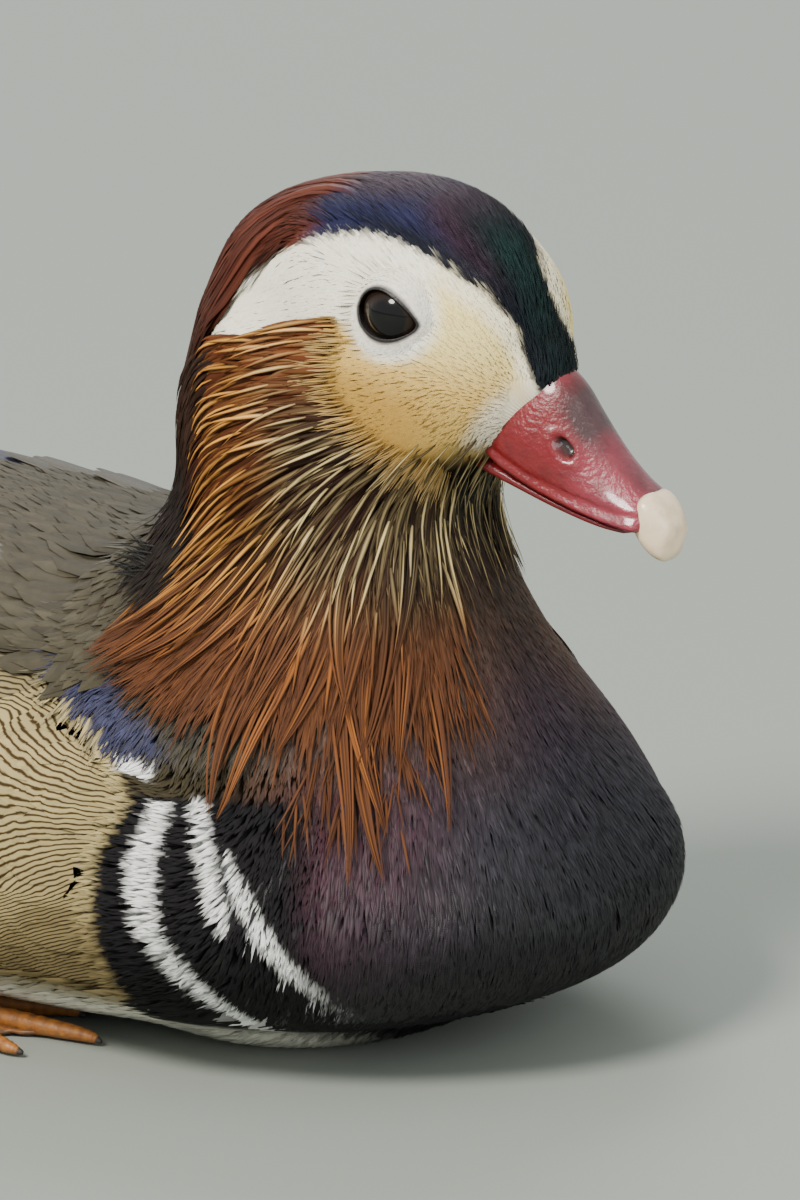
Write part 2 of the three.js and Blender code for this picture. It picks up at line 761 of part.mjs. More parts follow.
const COLOURS = {
  chestnut: [0x6b2f17, 0.75],
  maroon: [0x32202c, 0.6],
  brown: [0x6a5f4a, 0.75],
  olive: [0x55503e, 0.7],
  red: [0xb5333a, 0.3],
  horn: [0xe6dccb, 0.35],
  eye: [0x120c0a, 0.05],
  foot: [0xd88a3a, 0.55],
};

const duck = new THREE.Group();

function add(name, made, colour) {
  const mesh = made.getMesh();
  const geometry = new THREE.BufferGeometry();
  geometry.setAttribute("position", new THREE.Float32BufferAttribute(mesh.vertProperties, 3));
  geometry.setIndex(new THREE.Uint32BufferAttribute(mesh.triVerts, 1));
  geometry.computeVertexNormals();
  const [shade, roughness] = COLOURS[colour];
  const material = new THREE.MeshStandardMaterial({ color: shade, roughness, metalness: 0 });
  const piece = new THREE.Mesh(geometry, material);
  piece.name = name;
  duck.add(piece);
}

add("torso", makeTorso(), "maroon");
add("neck", makeNeck(), "chestnut");
add("head", makeHead(), "chestnut");
add("bill_upper", makeUpperBill(), "red");
add("bill_lower", largest(loft(billRings(LOWER_BILL, 0.1, 0.75)).subtract(headSpace)), "red");
add("bill_nail", loft(billRings(NAIL, 0.15, 0.5)), "horn");
add("tail", makeTail(), "brown");
for (const [name, side] of Object.entries(SIDES)) {
  add(`eye_${name}`, eyeball(side, EYE.r), "eye");
  add(`wing_${name}`, makeWing(side), "olive");
  add(`leg_${name}`, makeLeg(side), "foot");
}

export default duck;
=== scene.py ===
import bmesh
import bpy
import numpy as np
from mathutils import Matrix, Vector


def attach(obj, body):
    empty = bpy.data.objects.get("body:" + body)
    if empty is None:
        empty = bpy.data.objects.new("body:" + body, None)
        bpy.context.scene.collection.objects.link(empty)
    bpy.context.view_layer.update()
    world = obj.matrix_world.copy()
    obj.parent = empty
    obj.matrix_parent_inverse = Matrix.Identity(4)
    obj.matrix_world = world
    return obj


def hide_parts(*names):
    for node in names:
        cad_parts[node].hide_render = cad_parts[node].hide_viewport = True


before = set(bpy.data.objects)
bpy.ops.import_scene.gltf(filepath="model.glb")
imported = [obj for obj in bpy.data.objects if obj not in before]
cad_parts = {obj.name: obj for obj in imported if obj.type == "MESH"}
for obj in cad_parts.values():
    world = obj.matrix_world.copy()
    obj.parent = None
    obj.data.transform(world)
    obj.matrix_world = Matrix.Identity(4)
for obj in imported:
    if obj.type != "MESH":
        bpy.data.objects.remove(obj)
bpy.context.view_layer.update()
MM = 0.001
rng = np.random.default_rng(71)

# ---------------------------------------------------------------- camera

VIEW_TURN, VIEW_HEIGHT = np.radians(31), np.radians(16)
TO_CAMERA = np.array([
    np.sin(VIEW_TURN) * np.cos(VIEW_HEIGHT),
    -np.cos(VIEW_TURN) * np.cos(VIEW_HEIGHT),
    np.sin(VIEW_HEIGHT),
])
VIEW_RIGHT = np.array([np.cos(VIEW_TURN), np.sin(VIEW_TURN), 0])
VIEW_UP = np.cross(TO_CAMERA, VIEW_RIGHT)


def place_camera():
    picture_width = 133.3
    distance = 3000
    middle = VIEW_RIGHT * 57 + VIEW_UP * 61.1 + TO_CAMERA * 72
    data = bpy.data.cameras.new("camera")
    data.sensor_fit = "HORIZONTAL"
    data.sensor_width = 24
    data.lens = 24 * distance / picture_width
    data.clip_end = 50
    camera = bpy.data.objects.new("camera", data)
    bpy.context.collection.objects.link(camera)
    camera.location = Vector((middle + TO_CAMERA * distance) * MM)
    camera.rotation_euler = Vector(TO_CAMERA).to_track_quat("Z", "Y").to_euler()
    bpy.context.scene.camera = camera


place_camera()

# ---------------------------------------------------------------- the bird's outline

# Station x; middle height, reach up, reach down, half-width
TORSO = [
    (-150, 54, 6, 8, 13), (-125, 52, 14, 19, 25), (-100, 49, 24, 33, 38), (-70, 45, 35, 43, 50),
    (-35, 40, 42, 41, 58), (0, 37, 43.2, 38, 61), (35, 36, 40.2, 37, 60), (62, 35, 33, 34, 54),
    (80, 33, 20, 26, 41), (92, 31, 9, 14, 22), (96, 30, 3, 5, 8),
]
# Station z; middle x, reach ahead, reach behind, half-width
NECK = [
    (6, 56, 22, 20, 24), (10, 57, 40, 34, 40), (17, 58, 51, 40, 50), (28, 59, 54, 42, 55),
    (42, 59, 46.8, 40, 49), (55, 58, 39.5, 38, 41), (66, 57, 34, 34, 33), (78, 56, 29, 30.5, 27),
    (90, 55.5, 26, 27, 23.5), (104, 57, 24.5, 25.5, 21.5), (116, 58, 20, 21, 18),
]
HEAD_PLACE = np.array([75.0, 0, 128])
HEAD_TURN, HEAD_BOW = np.radians(-6), np.radians(17)
SKULL = ((-2, 0, -2.5), (25, 18.5, 20.5))
LORES = ((15, 0, -9), (12.5, 9.5, 11.5))
CHEEK = ((3, 9, -12), (16, 10, 12))
NAPE = ((-18, 0, -10), (22, 14, 17.5))
MANE = ((-28, 0, -27), (14, 12, 20))
FOREHEAD = ((20.5, 0, -4), (8.2, 7.0, 6.2))
BROW = ((8, 7, 0.5), (11, 7.4, 9.4))


def head_axes():
    turn = np.array([
        [np.cos(HEAD_TURN), -np.sin(HEAD_TURN), 0],
        [np.sin(HEAD_TURN), np.cos(HEAD_TURN), 0],
        [0, 0, 1],
    ])
    bow = np.array([
        [np.cos(HEAD_BOW), 0, np.sin(HEAD_BOW)],
        [0, 1, 0],
        [-np.sin(HEAD_BOW), 0, np.cos(HEAD_BOW)],
    ])
    return turn @ bow


HEAD_AXES = head_axes()


def to_head(p):
    return (p - HEAD_PLACE) @ HEAD_AXES


def from_head(q):
    return np.asarray(q, float) @ HEAD_AXES.T + HEAD_PLACE


def ramp(x, low, high):
    t = np.clip((x - low) / (high - low), 0, 1)
    return t * t * (3 - 2 * t)


def mix(a, b, t):
    t = np.asarray(t, float)
    if np.ndim(a):
        t = t[..., None]
    return np.asarray(a) * (1 - t) + np.asarray(b) * t


def unit(v):
    return v / np.maximum(np.linalg.norm(v, axis=-1, keepdims=True), 1e-9)


def smooth_rows(rows, step=0.5):
    rows = np.array(rows, float)
    at, values = rows[:, 0], rows[:, 1:]
    slopes = np.gradient(values, at, axis=0)
    slopes[0] = (values[1] - values[0]) / (at[1] - at[0])
    slopes[-1] = (values[-1] - values[-2]) / (at[-1] - at[-2])
    for k in range(1, len(at) - 1):
        slopes[k] = (values[k + 1] - values[k - 1]) / (at[k + 1] - at[k - 1])
    fine = np.arange(at[0], at[-1] + step / 2, step)
    i = np.clip(np.searchsorted(at, fine) - 1, 0, len(at) - 2)
    h = at[i + 1] - at[i]
    t = ((fine - at[i]) / h)[:, None]
    h = h[:, None]
    curve = (
        (2 * t**3 - 3 * t**2 + 1) * values[i] + (t**3 - 2 * t**2 + t) * h * slopes[i]
        + (-2 * t**3 + 3 * t**2) * values[i + 1] + (t**3 - t**2) * h * slopes[i + 1]
    )
    return lambda q: [np.interp(q, fine, curve[:, k]) for k in range(curve.shape[1])]


torso_at = smooth_rows(TORSO)
neck_at = smooth_rows(NECK)


def outside_oval(a, b, reach, width, roundness):
    rho = (np.abs(a / reach) ** roundness + np.abs(b / width) ** roundness) ** (1 / roundness)
    return (rho - 1) * np.minimum(reach, width)


def beyond_ends(distance, value, low, high):
    over = np.maximum(np.maximum(value - high, low - value), 0)
    return np.where(over > 0, np.hypot(np.maximum(distance, 0), over), distance)


def torso_field(p):
    middle, up, down, width = torso_at(p[..., 0])
    reach = np.where(p[..., 2] > middle, up, down)
    d = outside_oval(p[..., 2] - middle, p[..., 1], reach, width, 2.25)
    return beyond_ends(d, p[..., 0], TORSO[0][0], TORSO[-1][0])


def neck_field(p):
    middle, ahead, behind, width = neck_at(p[..., 2])
    reach = np.where(p[..., 0] > middle, ahead, behind)
    d = outside_oval(p[..., 0] - middle, p[..., 1], reach, width, 2.05)
    return beyond_ends(d, p[..., 2], NECK[0][0], NECK[-1][0])


def outside_ellipsoid(p, mass):
    centre, radii = np.array(mass[0], float), np.array(mass[1], float)
    q = (p - centre) / radii
    k = np.linalg.norm(q, axis=-1)
    return k * (k - 1) / np.maximum(np.linalg.norm(q / radii, axis=-1), 1e-6)


def blend(a, b, reach):
    h = np.maximum(reach - np.abs(a - b), 0) / reach
    return np.minimum(a, b) - h * h * reach / 4


def head_field(p):
    q = to_head(p)
    d = blend(outside_ellipsoid(q, SKULL), outside_ellipsoid(q, LORES), 9)
    mirrored = np.stack([q[..., 0], np.abs(q[..., 1]), q[..., 2]], -1)
    d = blend(d, outside_ellipsoid(mirrored, CHEEK), 10)
    d = blend(d, outside_ellipsoid(mirrored, BROW), 5)
    d = blend(d, outside_ellipsoid(q, NAPE), 10)
    d = blend(d, outside_ellipsoid(q, MANE), 10)
    return blend(d, outside_ellipsoid(q, FOREHEAD), 4)


def outline(p):
    return blend(blend(torso_field(p), neck_field(p), 16), head_field(p), 12)


def outward(p, field=outline):
    e = 0.08
    here = field(p)
    steps = [(field(p + np.eye(3)[k] * e) - here) / e for k in range(3)]
    return np.stack(steps, -1), here


def settle(p, height, rounds=2):
    for _ in range(rounds):
        g, here = outward(p)
        p = p - g * (0.9 * (here - height) / np.maximum((g * g).sum(-1), 0.2))[..., None]
    return p


# ---------------------------------------------------------------- markings

CHESTNUT = np.array([0.055, 0.019, 0.008])
RUST = np.array([0.09, 0.033, 0.011])
DARK_RUST = np.array([0.027, 0.012, 0.007])
STRIPE_WHITE = np.array([0.95, 0.9, 0.73])
EYE_WHITE = np.array([0.95, 0.91, 0.79])
CREAM = np.array([0.92, 0.74, 0.3])
BUFF = np.array([0.67, 0.44, 0.13])
GOLD_BUFF = np.array([0.48, 0.28, 0.062])
LOW_BUFF = np.array([0.22, 0.11, 0.026])
THROAT = np.array([0.008, 0.007, 0.005])
NECK_BROWN = np.array([0.04, 0.022, 0.013])
TAN = np.array([0.105, 0.05, 0.022])
MAROON = np.array([0.078, 0.027, 0.042])
PURPLE_SHEEN = np.array([0.038, 0.018, 0.034])
BLUE_BLACK = np.array([0.024, 0.024, 0.034])
BREAST_BLACK = np.array([0.01, 0.01, 0.011])
BAR_BLACK = np.array([0.01, 0.009, 0.01])
BAR_WHITE = np.array([0.88, 0.88, 0.86])
FLANK_GOLD = np.array([0.4, 0.32, 0.15])
FLANK_LOW = np.array([0.24, 0.18, 0.08])
SHOULDER_BLUE = np.array([0.034, 0.036, 0.088])
RUFF_VANE_TOP = np.array([0.115, 0.031, 0.01])
RUFF_VANE = np.array([0.078, 0.022, 0.008])
RUFF_LOW = np.array([0.084, 0.031, 0.013])
RUFF_FRONT = np.array([0.02, 0.01, 0.006])
RUFF_VANE_DARK = np.array([0.024, 0.009, 0.005])
SHAFT_CREAM = np.array([0.95, 0.74, 0.34])
SHAFT_GOLD = np.array([0.88, 0.42, 0.075])
SHAFT_RUST = np.array([0.36, 0.12, 0.022])
SHOULDER_OLIVE = np.array([0.045, 0.036, 0.019])
BACK_OLIVE = np.array([0.074, 0.063, 0.038])
RUMP_DARK = np.array([0.024, 0.025, 0.021])
BELLY_WHITE = np.array([0.85, 0.83, 0.72])
CROWN_PURPLE = np.array([0.03, 0.013, 0.026])
CROWN_BLUE = np.array([0.015, 0.016, 0.055])
CROWN_GREEN = np.array([0.01, 0.03, 0.028])
CROWN_DARK = np.array([0.008, 0.01, 0.012])
CROWN_CHESTNUT = np.array([0.095, 0.023, 0.012])
NAPE_VIOLET = np.array([0.013, 0.009, 0.007])

# Edges of the white stripe in the head's frame: x, z
STRIPE_TOP = np.array([
    (-40, -30), (-34, -22), (-31.5, -12), (-30, -7), (-23, 0.3), (-17.7, 4.9), (-10.6, 9.0), (-6, 10.6), (-0.8, 11.2),
    (5, 11.0), (10, 10.1), (15, 8.6), (18.9, 5.9), (22.3, 1.2), (24.6, -2.2), (26, -5),
])
STRIPE_FOOT = np.array([(-40, -30), (-33, -22), (-27, -18.6), (-22.3, -14.6), (-14.5, -8.4), (-7, -4), (-2, -6)])
CHEEK_FOOT = np.array([(-6.5, -6), (-6, -11), (-3.4, -15.5), (1.5, -18.8), (5.8, -21.3), (10.1, -22.6), (15, -23.4), (22, -22.4)])


def crown_edge(q):
    """Height of the crown's edge; on the bird's left the white reaches a little higher."""
    x = q[..., 0]
    left = ramp(q[..., 1], 0, 3) * ramp(x, -12, -4)
    return np.interp(x, STRIPE_TOP[:, 0], STRIPE_TOP[:, 1]) + 2.7 * left


def crown_marks(x, y, z, top):
    """Purple and blue on top, green over the bill, chestnut behind, dark along the white stripe."""
    crown = mix(CROWN_BLUE, CROWN_PURPLE, ramp(z - 16 + 0.4 * np.abs(x + 4), -1.5, 2.5))
    crown = mix(crown, CROWN_GREEN, ramp(x, -1, 13) * ramp(-y, -9, -3))
    crown = mix(crown, CROWN_DARK, 0.8 * ramp(top + 3.4 - z, 0, 3) * ramp(x, -22, -10))
    crown = mix(crown, CROWN_DARK, 0.7 * ramp(x, 20, 24))
    crown = mix(crown, CROWN_CHESTNUT, ramp(-x, 18, 24))
    crown = mix(crown, DARK_RUST, ramp(-x, 24, 29) * ramp(top + 4 - z, 0, 3))
    crown = mix(crown, DARK_RUST, 0.5 * ramp(-z, 10, 22))
    return mix(crown, NAPE_VIOLET, ramp(-z, 36, 50))


def head_marks(p):
    """Colour of the head's short feathers."""
    q = to_head(p)
    x, y, z = q[..., 0], np.abs(q[..., 1]), q[..., 2]
    top = crown_edge(q)
    foot = np.interp(x, STRIPE_FOOT[:, 0], STRIPE_FOOT[:, 1])
    cheek_foot = np.interp(x, CHEEK_FOOT[:, 0], CHEEK_FOOT[:, 1], left=-90)

    # face and cheek
    colour = mix(CREAM, BUFF, ramp(-z, -2, 9))
    colour = mix(colour, GOLD_BUFF, ramp(-z, 6, 14) * ramp(-x, -20, -8))
    colour = mix(colour, LOW_BUFF, ramp(cheek_foot + 4 - z, 0, 5))
    eye = np.hypot((x - 2) / 1.15, z - 0.8)
    colour = mix(colour, EYE_WHITE, 1 - ramp(eye, 6.0, 8.8))
    colour = mix(colour, STRIPE_WHITE, np.maximum(ramp(z, 2, 7) * ramp(-x, -11, -3), 0.7 * ramp(z - top, -4, -1)))
    colour = mix(colour, STRIPE_WHITE, 0.8 * ramp(x - 0.25 * (z + 12), 18.5, 22) * ramp(z, -20, -16) * (1 - 0.6 * ramp(z, -9, -3)))
    # stripe behind the eye
    colour = mix(colour, STRIPE_WHITE, ramp(-x, -2, 3) * ramp(z - foot, -0.6, 0.6))
    # ruff's upper part under the stripe
    behind = np.maximum(ramp(-x, 4.5, 8) * ramp(foot - z, -0.6, 0.6), ramp(cheek_foot - z, -0.8, 0.8))
    colour = mix(colour, CHESTNUT, behind)
    colour = mix(colour, THROAT, ramp(-z, 19, 23) * ramp(-y, -11, -6) * ramp(x, -2, 8))

    crown = crown_marks(x, y, z, top)
    wobble = 0.25 * np.sin(1.9 * x + 2.3 * y) + 0.2 * np.sin(4.1 * x - 1.1 * y)
    above = ramp(z - top + wobble, -0.7, 0.7)
    above = np.maximum(above, ramp(-x, 33.5, 36) * ramp(-y, -13, -9))
    colour = mix(colour, crown, above)
    return colour


# Front edge of the lined flank, and the middles and half-widths of the bars: z, x, half-width
FLANK_EDGE = np.array([(8, 47), (20, 44.5), (29, 43), (40, 43), (45, 45.5), (49, 47.3), (53, 44.5), (57, 41), (60.5, 36.5), (63.7, 29.5), (69, 22)])
REAR_BAR = np.array([(8, 68, 1.6), (18, 61, 1.9), (25, 56.5, 2.1), (29, 53.8, 2.3), (35.5, 51.8, 2.7), (42, 51.5, 2.3), (50, 53, 1.7)])
MIDDLE_BAR = np.array([(29, 67.4, 0.4), (33, 65.6, 1.6), (42, 61.9, 1.5), (51, 58.7, 1.1)])
FRONT_BAR = np.array([(8, 88, 0.8), (18, 81, 1.3), (25, 76.2, 1.6), (33, 71.2, 1.6), (39, 67.4, 1.3), (43, 65, 0.3)])
BAR_TOP = 50.5


def within_bar(x, z, bar):
    middle, half = np.interp(z, bar[:, 0], bar[:, 1]), np.interp(z, bar[:, 0], bar[:, 2])
    inside = (z >= bar[0, 0]) & (z <= bar[-1, 0])
    return (1 - ramp(np.abs(x - middle), half - 0.2, half + 0.35)) * inside


# Sheens of the breast, both sides alike: place, reach, colour
BREAST_AREAS = [
    ((81, 18, 73), 8, TAN), ((88, 18, 64), 8, TAN), ((76, 34, 62), 9, TAN), ((86, 6, 75), 7, NECK_BROWN),
    ((80, 44, 47), 9, MAROON), ((85, 42, 42), 10, MAROON), ((66, 48, 54), 7, SHOULDER_OLIVE), ((72, 44, 58), 6, TAN), ((90, 28, 54), 7, PURPLE_SHEEN), ((95, 8, 61), 8, PURPLE_SHEEN),
    ((101, 11, 48), 11, BLUE_BLACK), ((92, 44, 34), 8, BLUE_BLACK), ((98, 26, 42), 8, BLUE_BLACK),
    ((108, 8, 32), 13, BREAST_BLACK), ((102, 33, 28), 10, BREAST_BLACK), ((70, 52, 40), 8, BREAST_BLACK),
]


def body_marks(p):
    x, y, z = p[..., 0], np.abs(p[..., 1]), p[..., 2]
    # neck and breast
    colour = mix(THROAT, NECK_BROWN, ramp(-z, -98, -90))
    base = mix(NECK_BROWN, BREAST_BLACK, ramp(-z, -72, -58))
    shares = 0.1
    areas = base * shares
    for place, reach, tone in BREAST_AREAS:
        share = np.exp(-((x - place[0]) ** 2 + (y - place[1]) ** 2 + (z - place[2]) ** 2) / (2 * reach**2))
        areas = areas + share[..., None] * tone
        shares = shares + share
    areas = areas / np.asarray(shares)[..., None]
    colour = mix(colour, areas, ramp(-z, -92, -80) * ramp(x, 30, 44))
    colour = mix(colour, BREAST_BLACK, ramp(-z, -26, -14))
    side = ramp(y, 14, 30) * ramp(-z, -100, -90)
    colour = mix(colour, RUFF_VANE, side * ramp(-x, -84, -66) * ramp(z, 56, 66))
    # shoulder: olive, a blue patch, a white fleck over the bars
    flank_edge = np.interp(z, FLANK_EDGE[:, 0], FLANK_EDGE[:, 1])
    shoulder = ramp(-(x - 0.9 * (z - BAR_TOP)), -62, -56) * ramp(y, 20, 32) * ramp(z, BAR_TOP - 0.5, BAR_TOP + 0.5)
    colour = mix(colour, SHOULDER_OLIVE, shoulder)
    blue = ramp(z, 56, 57.5) * ramp(-z, -70, -67) * ramp(-(x - flank_edge), -13, -9)
    colour = mix(colour, SHOULDER_BLUE, blue * ramp(y, 30, 38))
    fleck = (1 - ramp(np.abs(z - 54.4 + 0.2 * (x - 46)), 0.7, 1.3)) * ramp(x, 41, 43) * ramp(-x, -51, -49.5)
    colour = mix(colour, BAR_WHITE, fleck)
    # bars
    barred = ramp(x - flank_edge, -0.6, 0.4) * ramp(-x, -(86 - 0.1 * z), -(78 - 0.1 * z)) * ramp(BAR_TOP - z, -0.3, 0.3)
    barred = barred * ramp(z, 6, 12)
    colour = mix(colour, BAR_BLACK, barred)
    for bar in (REAR_BAR, MIDDLE_BAR, FRONT_BAR):
        colour = mix(colour, BAR_WHITE, within_bar(x, z, bar) * barred)
    # flank, back and belly
    flank = mix(FLANK_GOLD, FLANK_LOW, ramp(-z, -38, -20))
    flank = mix(flank, BELLY_WHITE, ramp(-z, -15, -8))
    flank = mix(flank, BACK_OLIVE, ramp(z + 0.25 * np.maximum(30 - y, 0), 64, 67))
    flank = mix(flank, RUMP_DARK, ramp(-x, 70, 100) * ramp(z, 48, 56))
    flank = mix(flank, BELLY_WHITE, ramp(-x, 95, 120) * ramp(-z, -50, -40))
    colour = mix(colour, flank, ramp(flank_edge - x, -0.4, 0.4))
    colour = mix(colour, BELLY_WHITE, ramp(-z, -10, -4) * ramp(-x, -78, -62))
    return colour


def plumage(p):
    """The colour of the short plumage at a place, in millimetres."""
    q = to_head(p)
    low = ramp(-(p[..., 2] - 0.12 * (p[..., 0] - 57)), -103, -97)
    low = np.where(q[..., 0] < -24, np.maximum(ramp(-p[..., 2], -92, -80), ramp(-p[..., 0], -28, -24)), low)
    return mix(head_marks(p), body_marks(p), low)


# Where the feathers stream from: the root of the bill for the head, the gape for the neck
BILL_ROOT = from_head((22, 0, -9))
GAPE = np.array([86.0, 0, 106])
DOWN = np.array([0, 0, -1.0])


# How the ruff streams on the right side, the left side alike: place, direction
STREAMS = np.array([
    (64, -20, 122, -0.97, 0.14, -0.20), (49, -17, 118, -0.95, -0.02, -0.32),
    (43, -16, 113, -0.87, 0.37, -0.32), (64, -21, 115, -0.99, 0.06, -0.15),
    (58, -21, 110, -0.97, 0.08, -0.23), (69, -21, 112, -0.99, -0.04, -0.17),
    (45, -19, 104, -0.86, 0.25, -0.44), (56, -21, 105, -0.92, -0.01, -0.39),
    (67, -21, 106, -0.93, -0.10, -0.35), (78, -19, 107, -0.93, -0.16, -0.33),
    (46, -21, 96, -0.81, 0.19, -0.55), (59, -22, 98, -0.79, -0.12, -0.60),
    (69, -20, 99, -0.73, -0.20, -0.65), (78, -16, 100, -0.68, -0.06, -0.73),
    (81, -12, 99, -0.51, 0.29, -0.81), (42, -21, 87, -0.69, 0.05, -0.72),
    (55, -24, 90, -0.62, -0.16, -0.77), (66, -22, 91, -0.39, -0.30, -0.87),
    (74, -16, 91, -0.01, -0.19, -0.98), (80, -9, 90, 0.19, 0.13, -0.97),
    (42, -27, 78, -0.49, -0.53, -0.69), (51, -27, 80, -0.46, -0.42, -0.78),
    (62, -25, 82, -0.35, -0.38, -0.85), (72, -21, 82, 0.02, -0.37, -0.93),
    (79, -15, 81, 0.29, -0.18, -0.94), (84, -5, 79, 0.36, -0.06, -0.93),
    (39, -36, 70, -0.56, -0.70, -0.45), (48, -34, 71, -0.33, -0.72, -0.61),
    (58, -32, 72, -0.12, -0.68, -0.73), (68, -28, 73, 0.05, -0.57, -0.82),
    (77, -23, 72, 0.24, -0.40, -0.88), (85, -14, 71, 0.40, -0.26, -0.88),
    (53, -42, 64, -0.10, -0.77, -0.63), (64, -37, 65, 0.05, -0.73, -0.68),
    (74, -31, 65, 0.22, -0.61, -0.77), (83, -24, 64, 0.32, -0.46, -0.83),
    (91, -12, 63, 0.45, -0.28, -0.85), (63, -46, 57, 0.17, -0.65, -0.74),
    (75, -39, 57, 0.29, -0.60, -0.75), (85, -30, 56, 0.39, -0.46, -0.80),
    (94, -19, 54, 0.47, -0.27, -0.84), (31, -12, 104, -0.12, -0.10, -0.98),
    (31, -13, 94, -0.12, -0.15, -0.98), (30, -17, 83, -0.10, -0.50, -0.86),
    (31, -24, 77, -0.05, -0.85, -0.50),
])
STREAM_REACH = 6.5


def lie(p):
    """The way the feathers point."""
    x, z = p[..., 0], p[..., 2]
    q = to_head(p)
    sink = 0.75 * ramp(-q[..., 0], -3, 10) * ramp(-q[..., 2], -7, 4) + 1.3 * ramp(-q[..., 0], 18, 36)
    head = unit(p - BILL_ROOT) + DOWN * sink[..., None]
    fall = 0.3 + 1.5 * ramp(-z, -108, -58) + 1.8 * ramp(-x, -50, -26) * ramp(-z, -116, -98)
    neck = unit(p - GAPE) + DOWN * fall[..., None]
    back = np.array([-1.0, 0, -0.13])
    rear_edge = 36 + 40 * ramp(-z, -60, -50)
    body = mix(unit(neck), np.broadcast_to(back, neck.shape), ramp(rear_edge - x, 0, 24))
    share = ramp(z - 0.12 * (x - 57), 92, 110)
    way = unit(mix(unit(body), unit(head), share))
    # the streams win where they are near
    side = np.where(p[..., 1] > 0, -1.0, 1.0)
    near = np.zeros(x.shape)
    stream = np.zeros(p.shape)
    for gx, gy, gz, dx, dy, dz in STREAMS:
        gap = (x - gx) ** 2 + (p[..., 1] * side - gy) ** 2 + (z - gz) ** 2
        weight = np.exp(-gap / (2 * STREAM_REACH ** 2))
        near = near + weight
        stream = stream + weight[..., None] * np.array([dx, dy, dz])
    stream[..., 1] *= side * ramp(np.abs(p[..., 1]), 0, 8)
    strength = ramp(near, 0.05, 0.5) * ramp(z, 46, 54)
    return unit(mix(way, unit(stream), strength))


# ---------------------------------------------------------------- materials


def new_material(name, roughness, **sockets):
    material = bpy.data.materials.new(name)
    material.use_nodes = True
    tree = material.node_tree
    shader = tree.nodes["Principled BSDF"]
    shader.inputs["Roughness"].default_value = roughness
    for socket, value in sockets.items():
        shader.inputs[socket.replace("_", " ")].default_value = value
    return material, tree, shader


def node(tree, kind, **settings):
    made = tree.nodes.new(kind)
    for key, value in settings.items():
        if key in made.bl_rna.properties:
            setattr(made, key, value)
        else:
            made.inputs[key.replace("_", " ")].default_value = value
    return made


def maths(tree, operation, a, b=0.0, c=None):
    made = tree.nodes.new("ShaderNodeMath")
    made.operation = operation
    for socket, value in zip(made.inputs, (a, b, c)):
        if value is None:
            continue
        if isinstance(value, bpy.types.NodeSocket):
            tree.links.new(value, socket)
        else:
            socket.default_value = value
    return made.outputs[0]


def blend_colour(tree, mode, share, a, b):
    made = tree.nodes.new("ShaderNodeMix")
    made.data_type = "RGBA"
    made.blend_type = mode
    for socket, value in ((made.inputs[0], share), (made.inputs[6], a), (made.inputs[7], b)):
        if isinstance(value, bpy.types.NodeSocket):
            tree.links.new(value, socket)
        elif np.ndim(value):
            socket.default_value = (*value, 1)
        else:
            socket.default_value = value
    return made.outputs[2]


